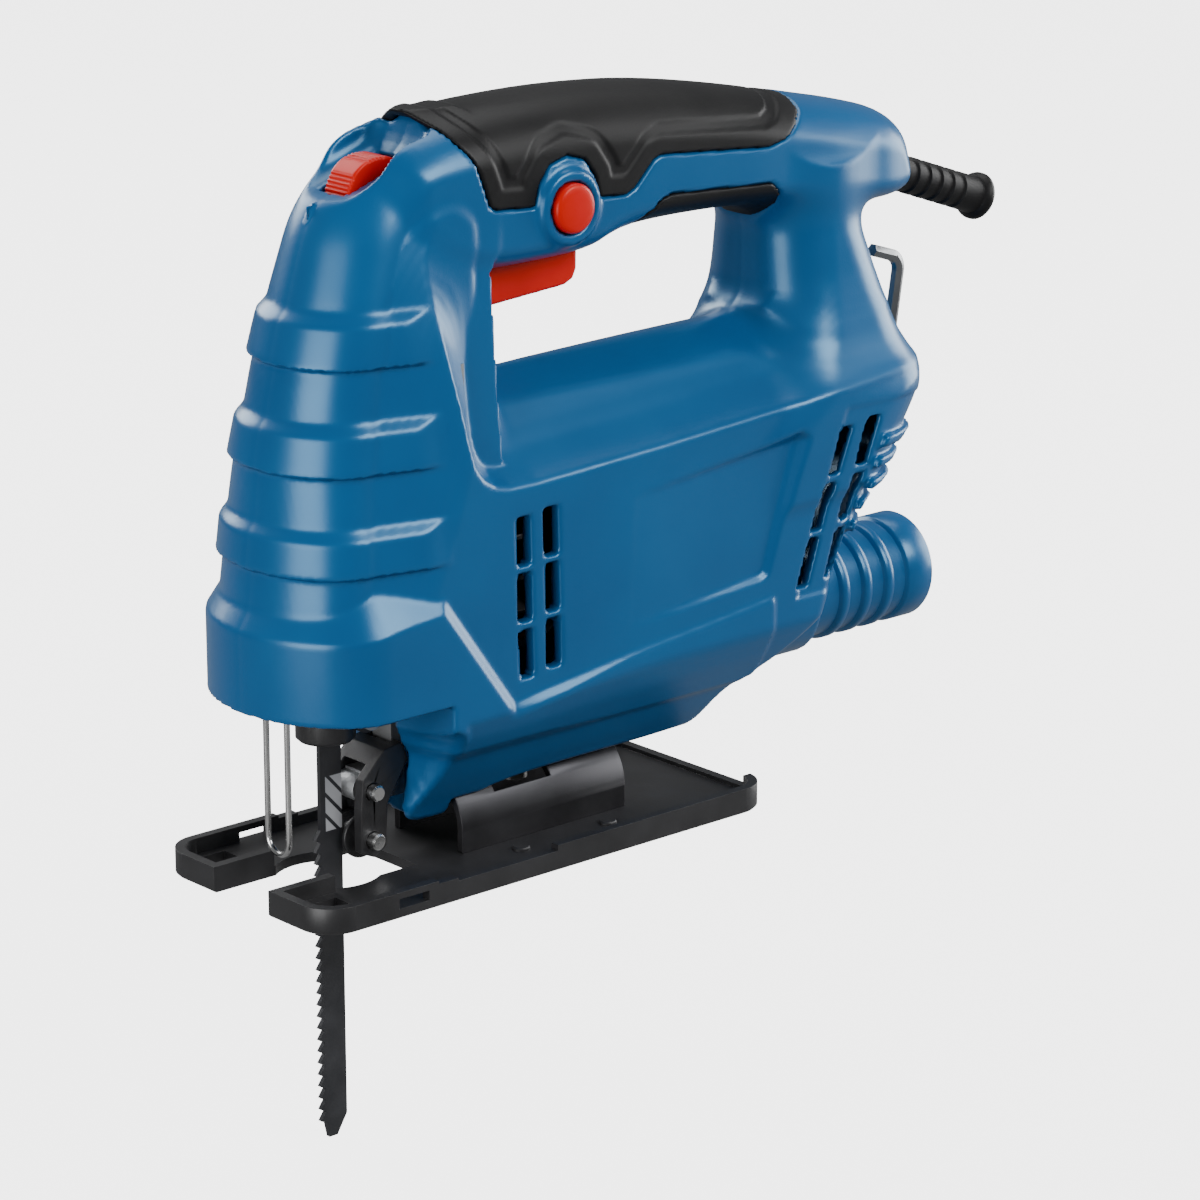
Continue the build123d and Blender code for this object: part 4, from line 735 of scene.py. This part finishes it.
red_plastic = finish_of("red_plastic", (0.56, 0.003, 0.0015), (0.64, 0.005, 0.002), (0.30, 0.40),
                        (0.25, 0.05), 1900.0, tint=(1.0, 0.45, 0.35))
TRIGGER_OUTLINE = [(38.2, 150), (38.2, 137.5), (38.9, 131.4), (40.0, 132.6), (43, 134.2), (69, 136),
                   (71.6, 137.2), (72.8, 139.6), (73, 148.5), (46, 150), (44, 152), (39.5, 152)]
TRIGGER_STEP, TRIGGER_HALF, TRIGGER_EDGE = 0.4, 7.7, 1.0
TRIGGER_PIN_X, TRIGGER_PIN_Z, TRIGGER_BORE = 41.5, 148.5, 1.65
low = (36.0, -9.0, 129.5)
X, Y, Z = grid_of(low, (75.0, 9.0, 153.5), TRIGGER_STEP)
field = meet(outline_distance(TRIGGER_OUTLINE, X, Z), np.abs(Y) - TRIGGER_HALF, TRIGGER_EDGE)
bore = np.hypot(X - TRIGGER_PIN_X, Z - TRIGGER_PIN_Z) - TRIGGER_BORE
field = carve(field, bore, 0.2)
add_skin("trigger_cap", field, low, TRIGGER_STEP, red_plastic, "trigger")

# ---- Lock button and speed dial ------------------------------------------------------------
# The lock button is a round red moulding with a softly domed face, set in a raised collar. The
# dial is a red thumb wheel on the speed board, with fine ribs between bare fields.


def lathe(name, profile, start, direction, material, node, closed=False):
    """A profile of (along, radius) points in millimetres, turned about an axis. A closed profile
    makes a tube, and an open one is capped at both ends."""
    turns = 96
    axis = Vector(direction).normalized()
    side = axis.orthogonal().normalized()
    other = axis.cross(side)
    points, faces = [], []
    for along, radius in profile:
        for turn in range(turns):
            angle = 2 * math.pi * turn / turns
            outward = side * math.cos(angle) + other * math.sin(angle)
            points.append(tuple(Vector(start) + axis * along + outward * radius))
    rows = len(profile)
    for row in range(rows if closed else rows - 1):
        after = (row + 1) % rows
        for turn in range(turns):
            beside = (turn + 1) % turns
            faces.append((row * turns + turn, row * turns + beside,
                          after * turns + beside, after * turns + turn))
    if not closed:
        faces.append(tuple(reversed(range(turns))))
        faces.append(tuple(range((rows - 1) * turns, rows * turns)))
    piece = add_piece(name, points, faces, material, node)
    piece.data.set_sharp_from_angle(angle=math.radians(38))


BUTTON_RADIUS, BUTTON_FACE, BUTTON_END = 6.0, -22.0, -10.9
profile = [(0.0, 3.0), (3.0, 3.0), (3.0, BUTTON_RADIUS - 0.2), (3.3, BUTTON_RADIUS)]
reach = BUTTON_END - BUTTON_FACE
for i in range(6):
    turn = i * math.pi / 12
    profile.append((reach - 1.5 + 1.2 * math.sin(turn), BUTTON_RADIUS - 1.2 + 1.2 * math.cos(turn)))
profile += [(reach - 0.2 * (r / 4.6) ** 2, r) for r in (4.4, 3.6, 2.6, 1.5, 0.5)]
lathe("lock_button_cap", profile, (BUTTON_X, BUTTON_END, BUTTON_Z), (0, -1, 0), red_plastic,
      "lock_button")

DIAL_RADIUS, DIAL_HALF, DIAL_STEP = 10.0, 4.4, 0.25
low = (DIAL_X - 11, -DIAL_HALF - 0.8, DIAL_Z - 11)
X, Y, Z = grid_of(low, (DIAL_X + 11, DIAL_HALF + 3.2, DIAL_Z + 11), DIAL_STEP)
angle = np.arctan2(Z - DIAL_Z, X - DIAL_X)
ribs = 0.5 + 0.5 * np.cos(angle * 60)
fields = smooth((np.cos(angle * 6 - 0.5) + 0.15) * 3)
rim = np.hypot(X - DIAL_X, Z - DIAL_Z) - DIAL_RADIUS + 0.42 * ribs * (1 - fields)
wheel = np.hypot(np.clip(rim + 0.6, 0, None), np.clip(np.abs(Y) - DIAL_HALF + 0.6, 0, None)) - 0.6
wheel = np.where((rim < -0.6) & (np.abs(Y) < DIAL_HALF - 0.6), -0.6, wheel)
axle = np.maximum(np.hypot(X - DIAL_X, Z - DIAL_Z) - 1.5, np.abs(Y - 5) - 2.1)
add_skin("speed_dial_wheel", np.minimum(wheel, axle), low, DIAL_STEP, red_plastic, "speed_dial")

# ---- Outlet port and cord sleeve -----------------------------------------------------------
# The dust outlet is a blue ribbed spigot in the rear of the body. The cord leaves the tail in a
# black rubber sleeve that is flared at its open end.

PORT_START, PORT_END, PORT_INNER, PORT_OUTER = 112, 79, 10.5, 13
profile = [(0, PORT_INNER), (0, PORT_OUTER)]
for x in (158.0, 166.0, 174.0):
    rib = ((-0.6, 13), (0, 13.7), (0.4, 14), (2.4, 14), (2.8, 13.7), (3.4, 13))
    profile += [(x - PORT_START + along, radius) for along, radius in rib]
profile += [(69.4, 13), (70, 13.7), (70.5, 14), (78.2, 14), (78.8, 13.7), (PORT_END, 13.2),
            (PORT_END, 10.9), (78.6, PORT_INNER)]
lathe("dust_port_spigot", profile, (PORT_START, 0, PORT_Z), (1, 0, 0), blue_plastic, "dust_port",
      closed=True)

DROOP = math.radians(19.0)
SLEEVE_BORE, SLEEVE_OUTER, SLEEVE_GROOVE = 3.3, 4.8, 4.3
profile = [(-10, SLEEVE_BORE), (-10, 6.3), (-6, 6.3), (-6, SLEEVE_OUTER), (1, SLEEVE_OUTER)]
for groove in range(6):
    start = 3 + groove * 4.6
    profile += [(start, SLEEVE_OUTER), (start + 0.4, SLEEVE_GROOVE), (start + 1.8, SLEEVE_GROOVE),
                (start + 2.2, SLEEVE_OUTER)]
profile += [(32, SLEEVE_OUTER), (35.2, 5.0), (36, 6.0), (36.6, 6.2), (37.6, 6.2), (38, 5.9), (38, 3.6),
            (37.7, SLEEVE_BORE)]
lathe("cord_sleeve_tube", profile, (183, 0, 148.6), (math.cos(DROOP), 0, -math.sin(DROOP)), rubber,
      "cord_sleeve", closed=True)

# ---- Wire guard, stored key and housing screws ---------------------------------------------
# The guard in front of the blade is bent spring wire. The hex key waits behind the rear post.
# Seven thread-forming screws with socket heads close the housing from the far side.

dress(["wire_guard"], pin_steel)
dress(["hex_key"], metal("key_steel", (0.20, 0.21, 0.22), (0.30, 0.31, 0.32), (0.25, 0.4)), 0.15)
dress([f"housing_screw_{i}" for i in range(1, 8)], zinc)

# ---- Camera, light and floor ---------------------------------------------------------------
# A pale paper floor and five soft boxes: low ones at the nose and the rear, and high ones beside,
# behind and over the tool. The camera stands in front, to the tool's left and a little above.

FLOOR_GLOW = 4.0
camera = bpy.data.objects.new("camera", bpy.data.cameras.new("camera"))
bpy.context.scene.collection.objects.link(camera)
camera.location = (-0.6073, -0.7807, 0.3661)
aim = Vector((0.0868, 0, 0.05235))
camera.rotation_euler = (aim - camera.location).to_track_quat("-Z", "Y").to_euler()
camera.data.lens, camera.data.sensor_width = 132, 36
bpy.context.scene.camera = camera


def soft_box(name, place, target, size, power):
    lamp = bpy.data.lights.new(name, "AREA")
    lamp.shape, lamp.size, lamp.size_y = "RECTANGLE", size[0], size[1]
    lamp.energy = power
    box = bpy.data.objects.new(name, lamp)
    bpy.context.scene.collection.objects.link(box)
    box.location = place
    box.rotation_euler = (Vector(target) - Vector(place)).to_track_quat("-Z", "Y").to_euler()


soft_box("nose_box", (-0.68, -0.17, 0.16), (0.0, 0.0, 0.12), (0.5, 0.44), 4.6)
soft_box("side_box", (0.5, -1.05, 0.9), (0.1, 0, 0.08), (0.8, 0.6), 16)
soft_box("far_box", (0.0, 1.3, 0.7), (0.1, 0, 0.08), (0.8, 0.8), 14)
soft_box("rear_box", (1.2, -0.2, 0.22), (0.1, 0, 0.1), (0.7, 0.7), 12)
soft_box("overhead", (0.35, 0.3, 1.15), (0.08, 0, 0.1), (0.9, 0.7), 6)

bpy.ops.mesh.primitive_plane_add(size=1)
floor = bpy.context.object
floor.name = "floor"
floor.scale = (30, 30, 1)
floor.location = (0, 0, cad_low[2] - 0.0005)
# the paper shines only towards the camera, so that it is pale and yet reflects dark in the tool
paper = finish_of("paper", (0.20, 0.20, 0.20), (0.22, 0.22, 0.22), (0.8, 0.9), (0.1, 0.05), 900.0,
                  3.0, specular=0.1)
tree = paper.node_tree
shader = tree.nodes["Principled BSDF"]
seen = tree.nodes.new("ShaderNodeLightPath").outputs["Is Camera Ray"]
glow = tree.nodes.new("ShaderNodeMath")
glow.operation = "MULTIPLY"
glow.inputs[1].default_value = FLOOR_GLOW
tree.links.new(seen, glow.inputs[0])
tree.links.new(glow.outputs["Value"], shader.inputs["Emission Strength"])
shader.inputs["Emission Color"].default_value = (1, 1, 1, 1)
floor.data.materials.append(paper)
floor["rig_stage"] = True

world = bpy.data.worlds.new("studio")
world.use_nodes = True
sky = world.node_tree.nodes["Background"]
sky.inputs["Color"].default_value = (0.93, 0.95, 0.97, 1)
sky.inputs["Strength"].default_value = 0.22
bpy.context.scene.world = world

low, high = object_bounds()
